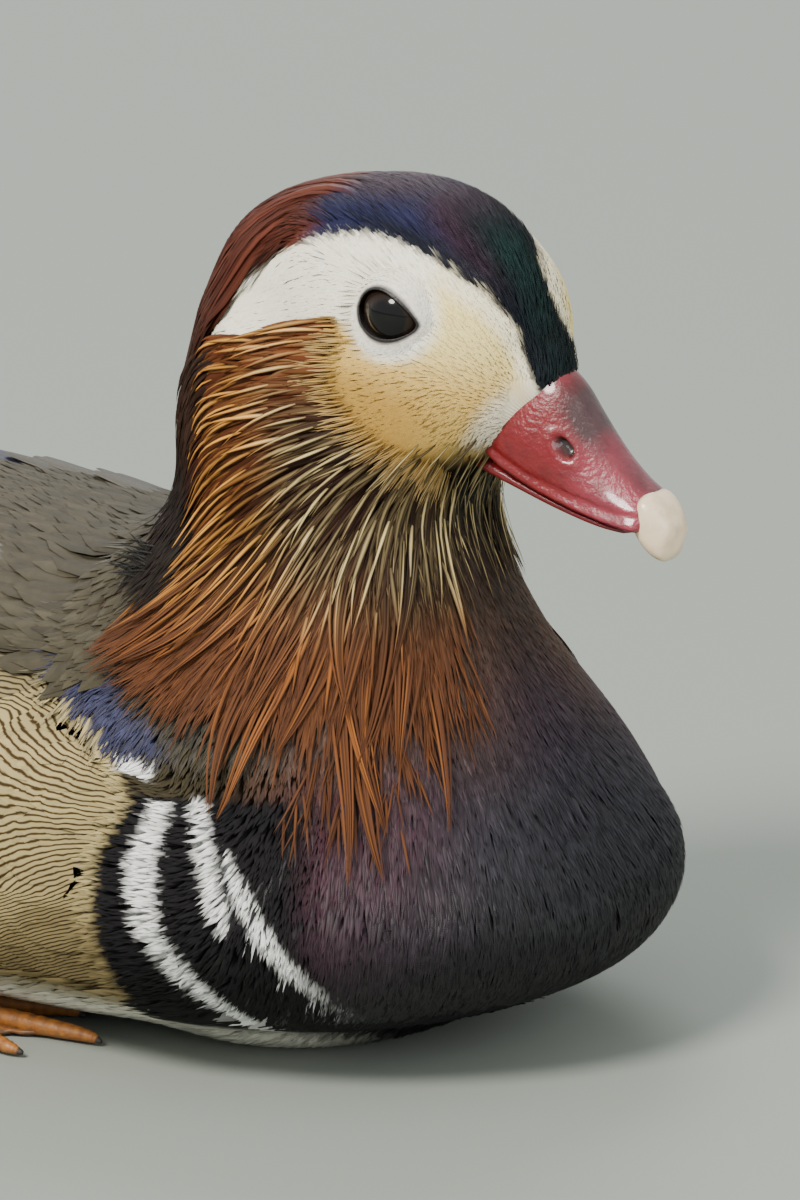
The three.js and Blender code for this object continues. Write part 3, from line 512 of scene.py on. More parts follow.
def feather_finish(name, roughness=0.62, barbs=0.25, waves=0.0, sheen=0.0, clumps=0.0, **sockets):
    """Feather colour from the piece's own tint, with fine barbs, and dark wavy lines where asked."""
    material, tree, shader = new_material(name, roughness, Sheen_Weight=sheen, Sheen_Roughness=0.4, **sockets)
    tint = node(tree, "ShaderNodeAttribute", attribute_name="tint").outputs["Color"]
    vane = node(tree, "ShaderNodeAttribute", attribute_name="vane").outputs["Vector"]
    split = node(tree, "ShaderNodeSeparateXYZ")
    tree.links.new(vane, split.inputs[0])
    across, along, chance = split.outputs
    sweep = maths(tree, "SUBTRACT", along, maths(tree, "MULTIPLY", maths(tree, "ABSOLUTE", across), 1.6))
    place = node(tree, "ShaderNodeTexCoord").outputs["Object"]
    noise = node(tree, "ShaderNodeTexNoise", Scale=900.0, Detail=2.0)
    tree.links.new(place, noise.inputs["Vector"])
    wander = maths(tree, "MULTIPLY", noise.outputs["Fac"], 1.4)
    lines = maths(tree, "SINE", maths(tree, "ADD", maths(tree, "MULTIPLY", sweep, 17.0), wander))
    lines = maths(tree, "MULTIPLY_ADD", lines, 0.5, 0.5)
    colour = blend_colour(tree, "MULTIPLY", maths(tree, "MULTIPLY", lines, barbs), tint, (0.35, 0.33, 0.32))
    if clumps:
        stretch = node(tree, "ShaderNodeMapping")
        stretch.inputs["Scale"].default_value = (1.0, 1.0, 0.28)
        tree.links.new(place, stretch.inputs["Vector"])
        patchy = node(tree, "ShaderNodeTexNoise", Scale=520.0, Detail=3.0)
        tree.links.new(stretch.outputs["Vector"], patchy.inputs["Vector"])
        dull = maths(tree, "MULTIPLY", maths(tree, "MULTIPLY_ADD", patchy.outputs["Fac"], 3.0, -1.0), clumps)
        dull = maths(tree, "MINIMUM", maths(tree, "MAXIMUM", dull, 0.0), 1.0)
        colour = blend_colour(tree, "MULTIPLY", dull, colour, (0.30, 0.30, 0.34))
    if waves:
        apart = node(tree, "ShaderNodeSeparateXYZ")
        tree.links.new(place, apart.inputs[0])
        broad = node(tree, "ShaderNodeTexNoise", Scale=210.0, Detail=2.0)
        tree.links.new(place, broad.inputs["Vector"])
        fan = maths(tree, "MULTIPLY", maths(tree, "SUBTRACT", apart.outputs[2], 0.046), 70.0)
        fan = maths(tree, "MAXIMUM", maths(tree, "MINIMUM", fan, 1.0), -1.0)
        ahead = maths(tree, "MULTIPLY_ADD", apart.outputs[0], 12.0, 0.144)
        ahead = maths(tree, "MINIMUM", maths(tree, "MAXIMUM", ahead, 0.0), 0.4)
        ahead = maths(tree, "MULTIPLY", maths(tree, "SUBTRACT", apart.outputs[0], 0.045), ahead)
        slope = maths(tree, "MULTIPLY", ahead, fan)
        level = maths(tree, "MULTIPLY", maths(tree, "ADD", apart.outputs[2], slope), 9300.0)
        bend = maths(tree, "MULTIPLY", broad.outputs["Fac"], 11.0)
        offset = maths(tree, "ADD", bend, maths(tree, "MULTIPLY", chance, 1.0))
        dark = maths(tree, "SINE", maths(tree, "ADD", level, offset))
        dark = maths(tree, "MULTIPLY", maths(tree, "SMOOTH_MAX", maths(tree, "SUBTRACT", dark, 0.05), 0.0, 0.15), 1.4)
        dark = maths(tree, "MINIMUM", maths(tree, "MULTIPLY", dark, waves), 1.0)
        colour = blend_colour(tree, "MULTIPLY", dark, colour, (0.12, 0.085, 0.05))
    tree.links.new(colour, shader.inputs["Base Color"])
    bump = node(tree, "ShaderNodeBump", Strength=0.35, Distance=0.0002)
    tree.links.new(lines, bump.inputs["Height"])
    tree.links.new(bump.outputs["Normal"], shader.inputs["Normal"])
    return material


SHORT_PLUMAGE = feather_finish("short plumage", roughness=0.8, barbs=0.06, Specular_IOR_Level=0.15)
CROWN_GLOSS = feather_finish("glossy crown", roughness=0.45, barbs=0.2, Specular_IOR_Level=0.2, Metallic=0.35)
BREAST_VELVET = feather_finish("velvet breast", roughness=0.45, barbs=0.2, clumps=0.6, Specular_IOR_Level=0.32)
RUFF_SILK = feather_finish("silky ruff", roughness=0.55, barbs=0.1, Specular_IOR_Level=0.12)
FLANK_FINE_LINES = feather_finish("finely lined flank", barbs=0.06, waves=0.9, Specular_IOR_Level=0.15)
BACK_FEATHERS = feather_finish("back feathers", roughness=0.6, barbs=0.5, clumps=0.3, Specular_IOR_Level=0.15)
QUILLS = feather_finish("quills", roughness=0.5, barbs=0.4, Specular_IOR_Level=0.3)


def skin_finish(name, roughness, mottle, mottle_size, bump, bump_size, **sockets):
    """Bare skin or horn: the piece's own tint, mottled, with fine grain."""
    material, tree, shader = new_material(name, roughness, **sockets)
    tint = node(tree, "ShaderNodeAttribute", attribute_name="tint").outputs["Color"]
    place = node(tree, "ShaderNodeTexCoord").outputs["Object"]
    patches = node(tree, "ShaderNodeTexNoise", Scale=1000.0 / mottle_size, Detail=4.0)
    grain = node(tree, "ShaderNodeTexNoise", Scale=1000.0 / bump_size, Detail=3.0)
    tree.links.new(place, patches.inputs["Vector"])
    tree.links.new(place, grain.inputs["Vector"])
    share = maths(tree, "MULTIPLY", maths(tree, "SMOOTH_MAX", maths(tree, "SUBTRACT", patches.outputs["Fac"], 0.42), 0.0, 0.05),
                  mottle * 4)
    tree.links.new(blend_colour(tree, "MULTIPLY", share, tint, (0.45, 0.30, 0.32)), shader.inputs["Base Color"])
    rough = maths(tree, "MULTIPLY_ADD", patches.outputs["Fac"], 0.25, roughness - 0.12)
    tree.links.new(rough, shader.inputs["Roughness"])
    relief = node(tree, "ShaderNodeBump", Strength=bump, Distance=0.0003)
    tree.links.new(grain.outputs["Fac"], relief.inputs["Height"])
    tree.links.new(relief.outputs["Normal"], shader.inputs["Normal"])
    return material


BILL_SKIN = skin_finish("wet bill", 0.34, 0.5, 3.5, 0.8, 0.9, Specular_IOR_Level=0.35, Coat_Weight=0.6, Coat_Roughness=0.11)
NAIL_HORN = skin_finish("nail horn", 0.32, 0.25, 2.5, 0.15, 1.0, Coat_Weight=0.3, Coat_Roughness=0.15)
EYE_GLASS = skin_finish("eye", 0.2, 0.1, 1.0, 0.0, 1.0, Specular_IOR_Level=0.05, Coat_Weight=0.45, Coat_Roughness=0.02)
wetness = node(EYE_GLASS.node_tree, "ShaderNodeAttribute", attribute_name="tint").outputs["Alpha"]
EYE_GLASS.node_tree.links.new(wetness, EYE_GLASS.node_tree.nodes["Principled BSDF"].inputs["Coat Weight"])
LID_SKIN = skin_finish("eyelid skin", 0.5, 0.3, 0.8, 0.5, 0.5)
FOOT_SKIN = skin_finish("foot skin", 0.5, 0.5, 1.6, 0.6, 0.8)


# ---------------------------------------------------------------- the skin

SPINE = [
    (0.00, -116, 0, 52), (0.12, -80, 0, 48), (0.26, -35, 0, 43), (0.38, 0, 0, 44), (0.46, 22, 0, 50),
    (0.54, 41, 0, 62), (0.62, 54, 0, 79), (0.70, 58, 0, 96), (0.80, 64, 0.8, 113), (0.90, 76, 0, 124),
    (1.00, 84, -0.6, 124.5),
]
spine_at = smooth_rows(SPINE, 0.005)
SKIN_RINGS, SKIN_AROUND = ((300, 160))


def spine_rays(v, turn):
    """Start and way of the ray that meets the skin at ring v (0 rump, 1 face) and angle turn."""
    ends = 0.13
    s = np.clip((v - ends * 0.6) / (1 - ends * 1.9), 0, 1)
    lean = np.where(v < ends * 0.6, (v / (ends * 0.6) - 1), 0)
    lean = np.where(v > 1 - ends * 1.3, (v - 1 + ends * 1.3) / (ends * 1.3), lean) * np.pi / 2
    here = np.stack(spine_at(s), -1)
    ahead = unit(np.stack(spine_at(np.clip(s + 0.01, 0, 1)), -1) - np.stack(spine_at(np.clip(s - 0.01, 0, 1)), -1))
    left = np.broadcast_to(np.array([0.0, 1, 0]), ahead.shape)
    left = unit(left - ahead * (left * ahead).sum(-1, keepdims=True))
    up = np.cross(ahead, left)
    ring = left * np.sin(turn)[..., None] + up * np.cos(turn)[..., None]
    return here, ring * np.cos(lean)[..., None] + ahead * np.sin(lean)[..., None]


def coat_depth(p):
    q = to_head(p)
    face = ramp(q[..., 0], -12, 4) * ramp(q[..., 2], -24, -14)
    depth = mix(2.0, 0.9, face)
    return np.where(p[..., 2] < 3, 1.2, depth)


def cast(start, way, depth=None):
    near = np.zeros(start.shape[:-1])
    far = np.full(start.shape[:-1], 2.0)
    level = -1.5 if depth is None else depth
    for _ in range(60):
        inside = outline(start + way * far[..., None]) < level
        if not inside.any():
            break
        near = np.where(inside, far, near)
        far = np.where(inside, far + 2.0, far)
    for _ in range(14):
        middle = (near + far) / 2
        inside = outline(start + way * middle[..., None]) < level
        near = np.where(inside, middle, near)
        far = np.where(inside, far, middle)
    return start + way * far[..., None]


def make_object(name, mesh, material, replaces=()):
    mesh.materials.append(material)
    piece = bpy.data.objects.new(name, mesh)
    bpy.context.collection.objects.link(piece)
    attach(piece, "root")
    if replaces:
        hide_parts(*replaces)
    return piece


def add_tint(mesh, colours, wet=1.0):
    tint = mesh.attributes.new("tint", "FLOAT_COLOR", "POINT")
    rgba = np.concatenate([colours, np.broadcast_to(wet, len(colours))[:, None]], 1)
    tint.data.foreach_set("color", rgba.astype(np.float32).ravel())


def make_skin():
    form = bmesh.new()
    bmesh.ops.create_uvsphere(form, u_segments=SKIN_AROUND, v_segments=SKIN_RINGS, radius=1)
    unit_sphere = np.array([v.co[:] for v in form.verts])
    v = np.arccos(np.clip(-unit_sphere[:, 2], -1, 1)) / np.pi
    turn = np.arctan2(unit_sphere[:, 1], unit_sphere[:, 0])
    start, way = spine_rays(v, turn)
    first = cast(start, way)
    p = cast(start, way, -coat_depth(first))
    p[:, 2] = np.maximum(p[:, 2], 0.4)
    # a hollow behind each eye's opening
    q = to_head(p)
    hollow = (1 - ramp(np.hypot((q[:, 0] - 1.8) / 7.0, (q[:, 2] - 1) / 5.2), 0.84, 1.1)) * (np.abs(q[:, 1]) > 8)
    q[:, 1] -= 3.2 * hollow * np.sign(q[:, 1])
    p = from_head(q)
    for vertex, place in zip(form.verts, p * MM):
        vertex.co = place
    bmesh.ops.recalc_face_normals(form, faces=form.faces)
    unwrap = form.loops.layers.uv.new("OFBake")
    turn01 = (turn / (2 * np.pi)) % 1
    for face in form.faces:
        face.smooth = True
        turns = np.array([turn01[loop.vert.index] for loop in face.loops])
        if turns.max() - turns.min() > 0.5:
            turns = np.where(turns < 0.5, turns + 1, turns)
        for loop, t in zip(face.loops, turns):
            loop[unwrap].uv = (0.02 + 0.92 * t, 0.02 + 0.96 * v[loop.vert.index])
    mesh = bpy.data.meshes.new("skin")
    form.to_mesh(mesh)
    form.free()
    add_tint(mesh, plumage(p))
    vane = mesh.attributes.new("vane", "FLOAT_VECTOR", "POINT")
    vane.data.foreach_set("vector", (p * 1.0).astype(np.float32).ravel())
    make_object("skin", mesh, SHORT_PLUMAGE, ("torso", "neck", "head"))
    mesh.calc_loop_triangles()
    corners = np.zeros(len(mesh.loop_triangles) * 3, np.int32)
    mesh.loop_triangles.foreach_get("vertices", corners)
    loops = np.zeros(len(mesh.loop_triangles) * 3, np.int32)
    mesh.loop_triangles.foreach_get("loops", loops)
    uvs = np.zeros(len(mesh.loops) * 2, np.float32)
    mesh.uv_layers["OFBake"].data.foreach_get("uv", uvs)
    return p[corners.reshape(-1, 3)], uvs.reshape(-1, 2)[loops.reshape(-1, 3)]


skin_triangles, skin_unwrap = make_skin()
skin_middles = skin_triangles.mean(1)
skin_sizes = np.linalg.norm(
    np.cross(skin_triangles[:, 1] - skin_triangles[:, 0], skin_triangles[:, 2] - skin_triangles[:, 0]), axis=1
) / 2


def scatter(density):
    """Root places on the skin, so many per square millimetre, and their places on its unwrap."""
    wanted = density(skin_middles) * skin_sizes * 1
    running = np.cumsum(wanted)
    count = int(running[-1])
    at = (np.arange(count) + rng.random(count)) * running[-1] / count
    pick = np.minimum(np.searchsorted(running, at), len(running) - 1)
    a, b = rng.random((2, count))
    flip = a + b > 1
    a, b = np.where(flip, 1 - a, a), np.where(flip, 1 - b, b)
    weights = np.stack([1 - a - b, a, b], -1)[..., None]
    return (skin_triangles[pick] * weights).sum(1), (skin_unwrap[pick] * weights).sum(1)


# ---------------------------------------------------------------- feathers


def feather_piece(name, material, centre, across, up, half, ridge, tint, bake, columns=(-1, 0, 1),
                  under=0.0, replaces=(), roundness=0.6):
    """A mesh of many closed feathers, split into pieces of about 190,000 triangles at most.
    A mesh of many closed feathers, in pieces of a size that exports whole.
    centre, across, up: (n, s, 3); half, ridge: (n, s); tint: (n, s, columns, 3)."""
    n, s = centre.shape[:2]
    around = len(columns) + (len(columns) - 2 if under else 0)
    each = 2 * around * (s - 2) + around + around - 2
    parts = -(-n * each // 190000)
    for part in range(parts):
        cut = slice(part * n // parts, (part + 1) * n // parts)
        label = name if parts == 1 else f"{name}_{part + 1}"
        one_feather_mesh(
            label, material, centre[cut], across[cut], up[cut], half[cut], ridge[cut], tint[cut], bake[cut],
            columns, under, replaces if part == 0 else (), roundness,
        )


def one_feather_mesh(name, material, centre, across, up, half, ridge, tint, bake, columns, under, replaces,
                     roundness):
    n, s = centre.shape[:2]
    c = np.array(columns, float)
    rise = ridge[..., None] * (1 - np.abs(c))
    rings = centre[:, :, None] + across[:, :, None] * (half[..., None] * c)[..., None]
    rings = rings + up[:, :, None] * rise[..., None]
    tint = np.broadcast_to(tint, (n, s, len(c), 3))
    spread = c
    facing = up[:, :, None] + across[:, :, None] * (c * roundness)[:, None]
    if under:
        inner = slice(-2, 0, -1)
        facing = np.concatenate([facing, np.repeat(-up[:, :, None], len(c) - 2, 2)], 2)
        below = rings[:, :, inner] - up[:, :, None] * (under * (1 - np.abs(c[inner])))[..., None]
        rings = np.concatenate([rings, below], 2)
        # the underside's tint is darkened: painted shade under the vanes
        tint = np.concatenate([tint, tint[:, :, inner] * 0.8], 2)
        spread = np.concatenate([c, c[inner]])
    k = rings.shape[2]
    body = n * (s - 1) * k
    points = np.concatenate([rings[:, :-1].reshape(-1, 3), centre[:, -1]])
    points[:, 2] = np.maximum(points[:, 2], 0.05)
    colours = np.concatenate([tint[:, :-1].reshape(-1, 3), tint[:, -1, len(c) // 2]])
    index = np.arange(body).reshape(n, s - 1, k)
    turned = np.roll(index, -1, 2)
    tips = body + np.arange(n)[:, None] + np.zeros((1, k), int)
    quads = np.stack([index[:, :-1], turned[:, :-1], turned[:, 1:], index[:, 1:]], -1).reshape(-1, 4)
    points_out = np.stack([index[:, -1], turned[:, -1], tips], -1).reshape(-1, 3)
    caps = index[:, 0, ::-1]
    corners = np.concatenate([quads.ravel(), points_out.ravel(), caps.ravel()])
    sizes = np.concatenate([np.full(len(quads), 4), np.full(len(points_out), 3), np.full(n, k)])
    mesh = bpy.data.meshes.new(name)
    mesh.vertices.add(len(points))
    mesh.vertices.foreach_set("co", (points * MM).astype(np.float32).ravel())
    mesh.loops.add(len(corners))
    mesh.loops.foreach_set("vertex_index", corners.astype(np.int32))
    mesh.polygons.add(len(sizes))
    mesh.polygons.foreach_set("loop_start", (np.cumsum(sizes) - sizes).astype(np.int32))
    mesh.polygons.foreach_set("use_smooth", np.ones(len(sizes), bool))
    mesh.update(calc_edges=True)
    mesh.normals_split_custom_set_from_vertices(unit(np.concatenate([facing[:, :-1].reshape(-1, 3), up[:, -1]])))
    add_tint(mesh, colours)
    lengths = np.linalg.norm(np.diff(centre, axis=1), axis=2)
    along = np.concatenate([np.zeros((n, 1)), np.cumsum(lengths, 1)], 1)
    chance = rng.random(n)
    vane = np.zeros((n, s, k, 3))
    vane[..., 0] = spread * half[..., None]
    vane[..., 1] = along[..., None]
    vane[..., 2] = chance[:, None, None]
    tip_vane = np.stack([np.zeros(n), along[:, -1], chance], -1)
    attribute = mesh.attributes.new("vane", "FLOAT_VECTOR", "POINT")
    attribute.data.foreach_set(
        "vector", np.concatenate([vane[:, :-1].reshape(-1, 3), tip_vane]).astype(np.float32).ravel()
    )
    uv = np.zeros((n, s, k, 2))
    uv[..., 0] = bake[:, None, None, 0] + 0.0015 * spread
    uv[..., 1] = bake[:, None, None, 1] + 0.003 * np.linspace(-0.5, 0.5, s)[None, :, None]
    uv = np.concatenate([uv[:, :-1].reshape(-1, 2), bake + (0, 0.0015)])
    layer = mesh.uv_layers.new(name="OFBake")
    layer.data.foreach_set("uv", uv[corners].astype(np.float32).ravel())
    return make_object(name, mesh, material, replaces)


def grow(roots, length, heights, way=lie, stations=None, swing=0.0, roll=0.0, curl=0.0):
    """Runs feathers from their roots along the lie of the coat, each station at its height."""
    n = len(roots)
    stations = np.linspace(0, 1, len(heights)) if stations is None else np.array(stations)
    length = np.broadcast_to(length, n)
    turn = rng.normal(0, 1, n) * swing
    tip_over = rng.normal(0, 1, n) * roll
    bend = rng.normal(0, 1, n) * curl
    places, sideways, ups = [], [], []
    p = roots
    for i, height in enumerate(heights):
        if i:
            p = p + heading * ((stations[i] - stations[i - 1]) * length)[:, None]
        p = settle(p, np.broadcast_to(height, n), 2)
        g, _ = outward(p)
        normal = unit(g)
        heading = way(p)
        heading = unit(heading - normal * (heading * normal).sum(-1, keepdims=True))
        side = np.cross(heading, normal)
        swung = turn + bend * stations[i]
        heading = heading * np.cos(swung)[:, None] + side * np.sin(swung)[:, None]
        side = np.cross(heading, normal)
        tilted = side * np.cos(tip_over)[:, None] + normal * np.sin(tip_over)[:, None]
        places.append(p)
        sideways.append(tilted)
        ups.append(np.cross(tilted, heading))
    return [np.stack(made, 1) for made in (places, sideways, ups)]


def shade(tint, variation, columns, edge=0.8, root=0.7):
    """Spreads one colour per feather over its stations and columns: dark at root and edges."""
    n, s = len(tint), len(columns[0])
    chance = 1 + rng.normal(0, variation, (n, 1, 1, 1))
    over = np.ones((1, s, len(columns[1]), 1))
    over = over * np.linspace(root, 1.08, s)[None, :, None, None]
    over = over * (edge + (1 - edge) * (1 - np.abs(np.array(columns[1]))))[None, None, :, None]
    tint = tint[:, None, None, :] if tint.ndim == 2 else tint[:, :, None, :]
    return np.clip(tint * over * chance, 0, 1)


def short_coat(name, material, density, length, half, lift, swing=0.12, roll=0.3, variation=0.1,
               marks=plumage, edge=0.78, root=0.75, stations=4, roundness=0.6, crisp=False):
    """Small tufts that lie over the skin."""
    roots, bake = scatter(density)
    n = len(roots)
    if n == 0:
        return
    reach = length(roots) if callable(length) else np.full(n, float(length))
    reach = reach * rng.uniform(0.8, 1.25, n)
    heights = np.linspace(-1.6, lift, stations)
    heights[1:] = np.linspace(lift * 0.2 - 0.5, lift, stations - 1)
    centre, across, up = grow(roots, reach, heights, swing=swing, roll=roll)
    form = np.array([0.7, 1, 0.75, 0.1]) if stations == 4 else np.array([0.8, 1, 0.1])
    wide = half(roots) if callable(half) else np.full(n, float(half))
    halves = wide[:, None] * form * rng.uniform(0.8, 1.2, (n, 1))
    tint = shade(marks(centre) if crisp else marks(centre[:, 1]), variation, (form, (-1, 0, 1)), edge, root)
    feather_piece(name, material, centre, across, up, halves, halves * 0.4, tint, bake,
                  roundness=roundness)


def head_part(p):
    return ramp(p[:, 2] - 0.12 * (p[:, 0] - 57), 95, 99)


def above_stripe(p):
    q = to_head(p)
    return (q[:, 2] > crown_edge(q) - 0.3) & (head_part(p) > 0)


def face_density(p):
    q = to_head(p)
    bare_eye = np.hypot(q[:, 0] - 1.8, q[:, 2] - 0.8) < 6.7
    bill = (q[:, 0] > 23.5) & (q[:, 2] < -4)
    return 3.5 * head_part(p) * ~above_stripe(p) * ~bare_eye * ~bill


def crown_density(p):
    q = to_head(p)
    return 5.0 * above_stripe(p) * ~((q[:, 0] > 25.5) & (q[:, 2] < -6))


short_coat("face_coat", SHORT_PLUMAGE, face_density, lambda p: 2.6 + 2.8 * ramp(-to_head(p)[:, 0], -16, 8),
           0.24, -0.6, swing=0.07, roll=0.03, variation=0.045, edge=0.95, root=0.94, stations=3, roundness=0.1,
           crisp=True)
short_coat("crown_coat", CROWN_GLOSS, crown_density, lambda p: 4.5 + 5 * ramp(-to_head(p)[:, 0], -5, 20),
           0.2, 0.1, swing=0.08, roll=0.1, variation=0.32, roundness=0.4, stations=3)


def breast_part(p):
    """The neck and breast, ahead of the bars."""
    edge = np.interp(p[:, 2], FLANK_EDGE[:, 0], FLANK_EDGE[:, 1])
    return (1 - head_part(p)) * (p[:, 0] > np.where(p[:, 2] < 72, edge - 1, 22))


def barred_part(p):
    return (p[:, 0] < 84 - 0.1 * p[:, 2]) & (p[:, 2] < 58) & (p[:, 2] > 6)


short_coat("breast_coat", BREAST_VELVET, lambda p: 1.35 * breast_part(p) * (p[:, 2] > 5) * (p[:, 2] < 84) * ~barred_part(p),
           lambda p: 7 + 3 * ramp(-p[:, 2], -70, -30), 0.44, 0.0, variation=0.22, roll=0.1, roundness=0.35, stations=3)
short_coat("barred_coat", SHORT_PLUMAGE, lambda p: 1.25 * breast_part(p) * barred_part(p),
           3.8, 0.36, -0.1, variation=0.1, roll=0.1, roundness=0.3, crisp=True, root=0.9, stations=3)
short_coat("throat_coat", BREAST_VELVET, lambda p: 3.0 * breast_part(p) * (p[:, 2] >= 84),
           6.5, 0.28, 0.0, variation=0.25, roll=0.1, roundness=0.4, stations=3)


def belly_density(p):
    return 0.35 * (p[:, 2] < 16) * (1 - (p[:, 2] < 1.5)) * (p[:, 0] < 100)


short_coat("belly_coat", SHORT_PLUMAGE, belly_density, 8, 1.0, 0.2, roll=0.15, stations=3)


# ---------------------------------------------------------------- flank and back feathers


def vanes(name, material, roots, bake, length, half, heights, tint, way=lie, swing=0.05, roll=0.06,
          columns=(-1, -0.5, 0, 0.5, 1), form=None, crown=0.1, under=0.0, replaces=(),
          roundness=0.3, variation=0.05, edge=0.9):
    """Broad feathers with rounded tips, laid from root to tip at the heights given."""
    s = len(heights)
    stations = np.linspace(0, 1, s) ** 0.9
    centre, across, up = grow(roots, length, heights, way, stations, swing, roll)
    if form is None:
        form = np.sqrt(np.clip(1 - (2 * np.clip(stations, 0.5, 1) - 1) ** 2.4, 0, 1))
        form = form * (0.45 + 0.55 * ramp(stations, 0, 0.35))
    halves = np.broadcast_to(half, len(roots))[:, None] * form
    shades = shade(tint, variation, (form, columns), edge, 0.88)
    feather_piece(name, material, centre, across, up, halves, halves * crown, shades, bake,
                  columns, under, replaces, roundness)


def flank_density(p):
    edge = np.interp(p[:, 2], FLANK_EDGE[:, 0], FLANK_EDGE[:, 1])
    side = (p[:, 2] > 12) * (p[:, 2] < 68) * (p[:, 0] < edge - 0.5) * (p[:, 0] > -100) * (np.abs(p[:, 1]) > 36)
    return 0.25 * side


roots, bake = scatter(flank_density)
vanes("flank_feathers", FLANK_FINE_LINES, roots, bake, 15 * rng.uniform(0.9, 1.15, len(roots)), 3.4,
      np.linspace(-1.4, -0.4, 5), plumage(roots - (2.5, 0, 0)), crown=0.04, roundness=0.12)


def over_wing(p):
    angle = np.degrees(np.arctan2(p[:, 2] - torso_at(p[:, 0])[0], np.abs(p[:, 1])))
    return (p[:, 0] < 8) & (p[:, 0] > -108) & (angle < 57)


def back_density(p):
    upper = (p[:, 2] >= 55) * (p[:, 0] < 40) * (np.abs(p[:, 1]) <= np.where(p[:, 2] < 68, 36, 99)) * (1 - head_part(p))
    return 0.24 * upper * (p[:, 0] > -118) * ~over_wing(p)


roots, bake = scatter(back_density)
vanes("back_feathers", BACK_FEATHERS, roots, bake, 15 * rng.uniform(0.8, 1.25, len(roots)), 2.3,
      np.linspace(-1.2, 0.2, 5), plumage(np.minimum(roots, (20, 99, 199))), variation=0.12, edge=0.8, swing=0.12)


def rump_density(p):
    return 0.14 * (p[:, 0] <= -92) * (p[:, 0] > -142) * (p[:, 2] > 12)


roots, bake = scatter(rump_density)
vanes("rump_feathers", BACK_FEATHERS, roots, bake, 13 * rng.uniform(0.9, 1.15, len(roots)), 2.6,
      np.linspace(-1.2, 0.4, 5), plumage(roots))

# ---------------------------------------------------------------- ruff



def over_stripe(centre):
    """Whether a feather runs over the white stripe behind the eye."""
    q = to_head(centre[:, 1:])
    x, z = q[..., 0], q[..., 2]
    top = np.interp(x, STRIPE_TOP[:, 0], STRIPE_TOP[:, 1])
    foot = np.interp(x, STRIPE_FOOT[:, 0], STRIPE_FOOT[:, 1])
    return ((z < top - 0.8) & (z > foot + 1.0) & (x < -5.5) & (x > -31)).any(1)


def strays(centre):
    """Whether a feather runs back past the edge of the mane, or off the breast's far side."""
    x, z, y = centre[..., 0], centre[..., 2], centre[..., 1]
    behind = (x < 29 + 4 * ramp(z, 68, 76)) & (z < 84)
    over_bars = (z < 49 - 0.6 * (x - 62)) & (x < 74) | (z < 38)
    return (behind | over_bars | ((y > -6) & (z < 76) & (x > 76))).any(1)


def ruff_density(p):
    q = to_head(p)
    x, z, y = q[:, 0], q[:, 2], np.abs(q[:, 1])
    foot = np.interp(x, STRIPE_FOOT[:, 0], STRIPE_FOOT[:, 1])
    cheek_foot = np.interp(x, CHEEK_FOOT[:, 0], CHEEK_FOOT[:, 1])
    behind = (x < -4.5) & (x > -31) & (z < foot - 0.6) & (z > foot - 60)
    below = (x >= -6.5) & (x < 16) & (z < cheek_foot + 1)
    return (behind | below) * (y > 7) * (p[:, 2] > 72) * (p[:, 0] > 33)


def ruff_colours(centre, columns, pale):
    """Chestnut above, dark in the middle, rust below; the shaft lines gold, cream or rust."""
    x, z = centre[..., 0], centre[..., 2]
    vane = mix(RUFF_VANE, RUFF_VANE_DARK, ramp(x - 0.5 * (z - 96), 44, 58))
    vane = mix(RUFF_VANE_TOP, vane, ramp(-z, -119, -107))
    vane = mix(vane, RUFF_LOW, ramp(-z, -88, -74))
    vane = mix(vane, RUFF_FRONT, ramp(x, 68, 80) * ramp(z, 66, 84))
    shaft = mix(SHAFT_GOLD, SHAFT_CREAM, ramp(x + 0.3 * (z - 96), 48, 62))
    shaft = mix(shaft, SHAFT_GOLD, 0.6 * ramp(z, 114, 122))
    shaft = mix(shaft, SHAFT_RUST, ramp(-z, -86, -70))
    shaft = vane + (shaft - vane) * pale
    share = 1 - ramp(np.abs(np.array(columns)), 0.1, 0.8)
    return vane[..., None, :] * (1 - share[:, None]) + shaft[..., None, :] * share[:, None]


def hackles(name, roots, bake, length, half, heights, light, swing=0.05, roll=0.12, tint=None,
            columns=(-1, -0.4, 0, 0.4, 1), curl=0.0, lock=1, lock_width=0.0):
    """Narrow pointed feathers; light is how bright each one's shaft line is. Those of a lock
    start side by side and close to a point."""
    stations = np.linspace(0, 1, len(heights))
    centre, across, up = grow(roots, length, heights, lie, stations, swing, roll, curl)
    if lock > 1:
        centre, across, up, bake = [np.repeat(made, lock, 0) for made in (centre, across, up, bake)]
        aside = rng.normal(0, lock_width, (len(centre), 1)) * (1 - 0.9 * stations**1.3)
        lower = -rng.uniform(0, 0.5, (len(centre), 1)) * stations
        centre = centre + across * aside[..., None] + up * lower[..., None]
    kept = ~(over_stripe(centre) | strays(centre))
    centre, across, up, bake = centre[kept], across[kept], up[kept], bake[kept]
    n = len(centre)
    form = np.interp(stations, [0, 0.15, 0.4, 0.75, 1], [0.15, 0.7, 1, 0.6, 0.05])
    halves = half * form * rng.uniform(0.65, 1.3, (n, 1))
    if tint is None:
        along = np.interp(stations, [0, 0.1, 0.35, 0.65, 1], [0, 0.35, 1, 0.9, 0.4])
        bright = rng.choice(light, (n, 1, 1)) * along[None, :, None]
        tint = ruff_colours(centre, columns, bright)
    tint = tint * rng.uniform(0.7, 1.25, (n, 1, 1, 1))
    feather_piece(name, RUFF_SILK, centre, across, up, halves, halves * 0.35, np.clip(tint, 0, 1), bake,
                  columns, roundness=0.5)


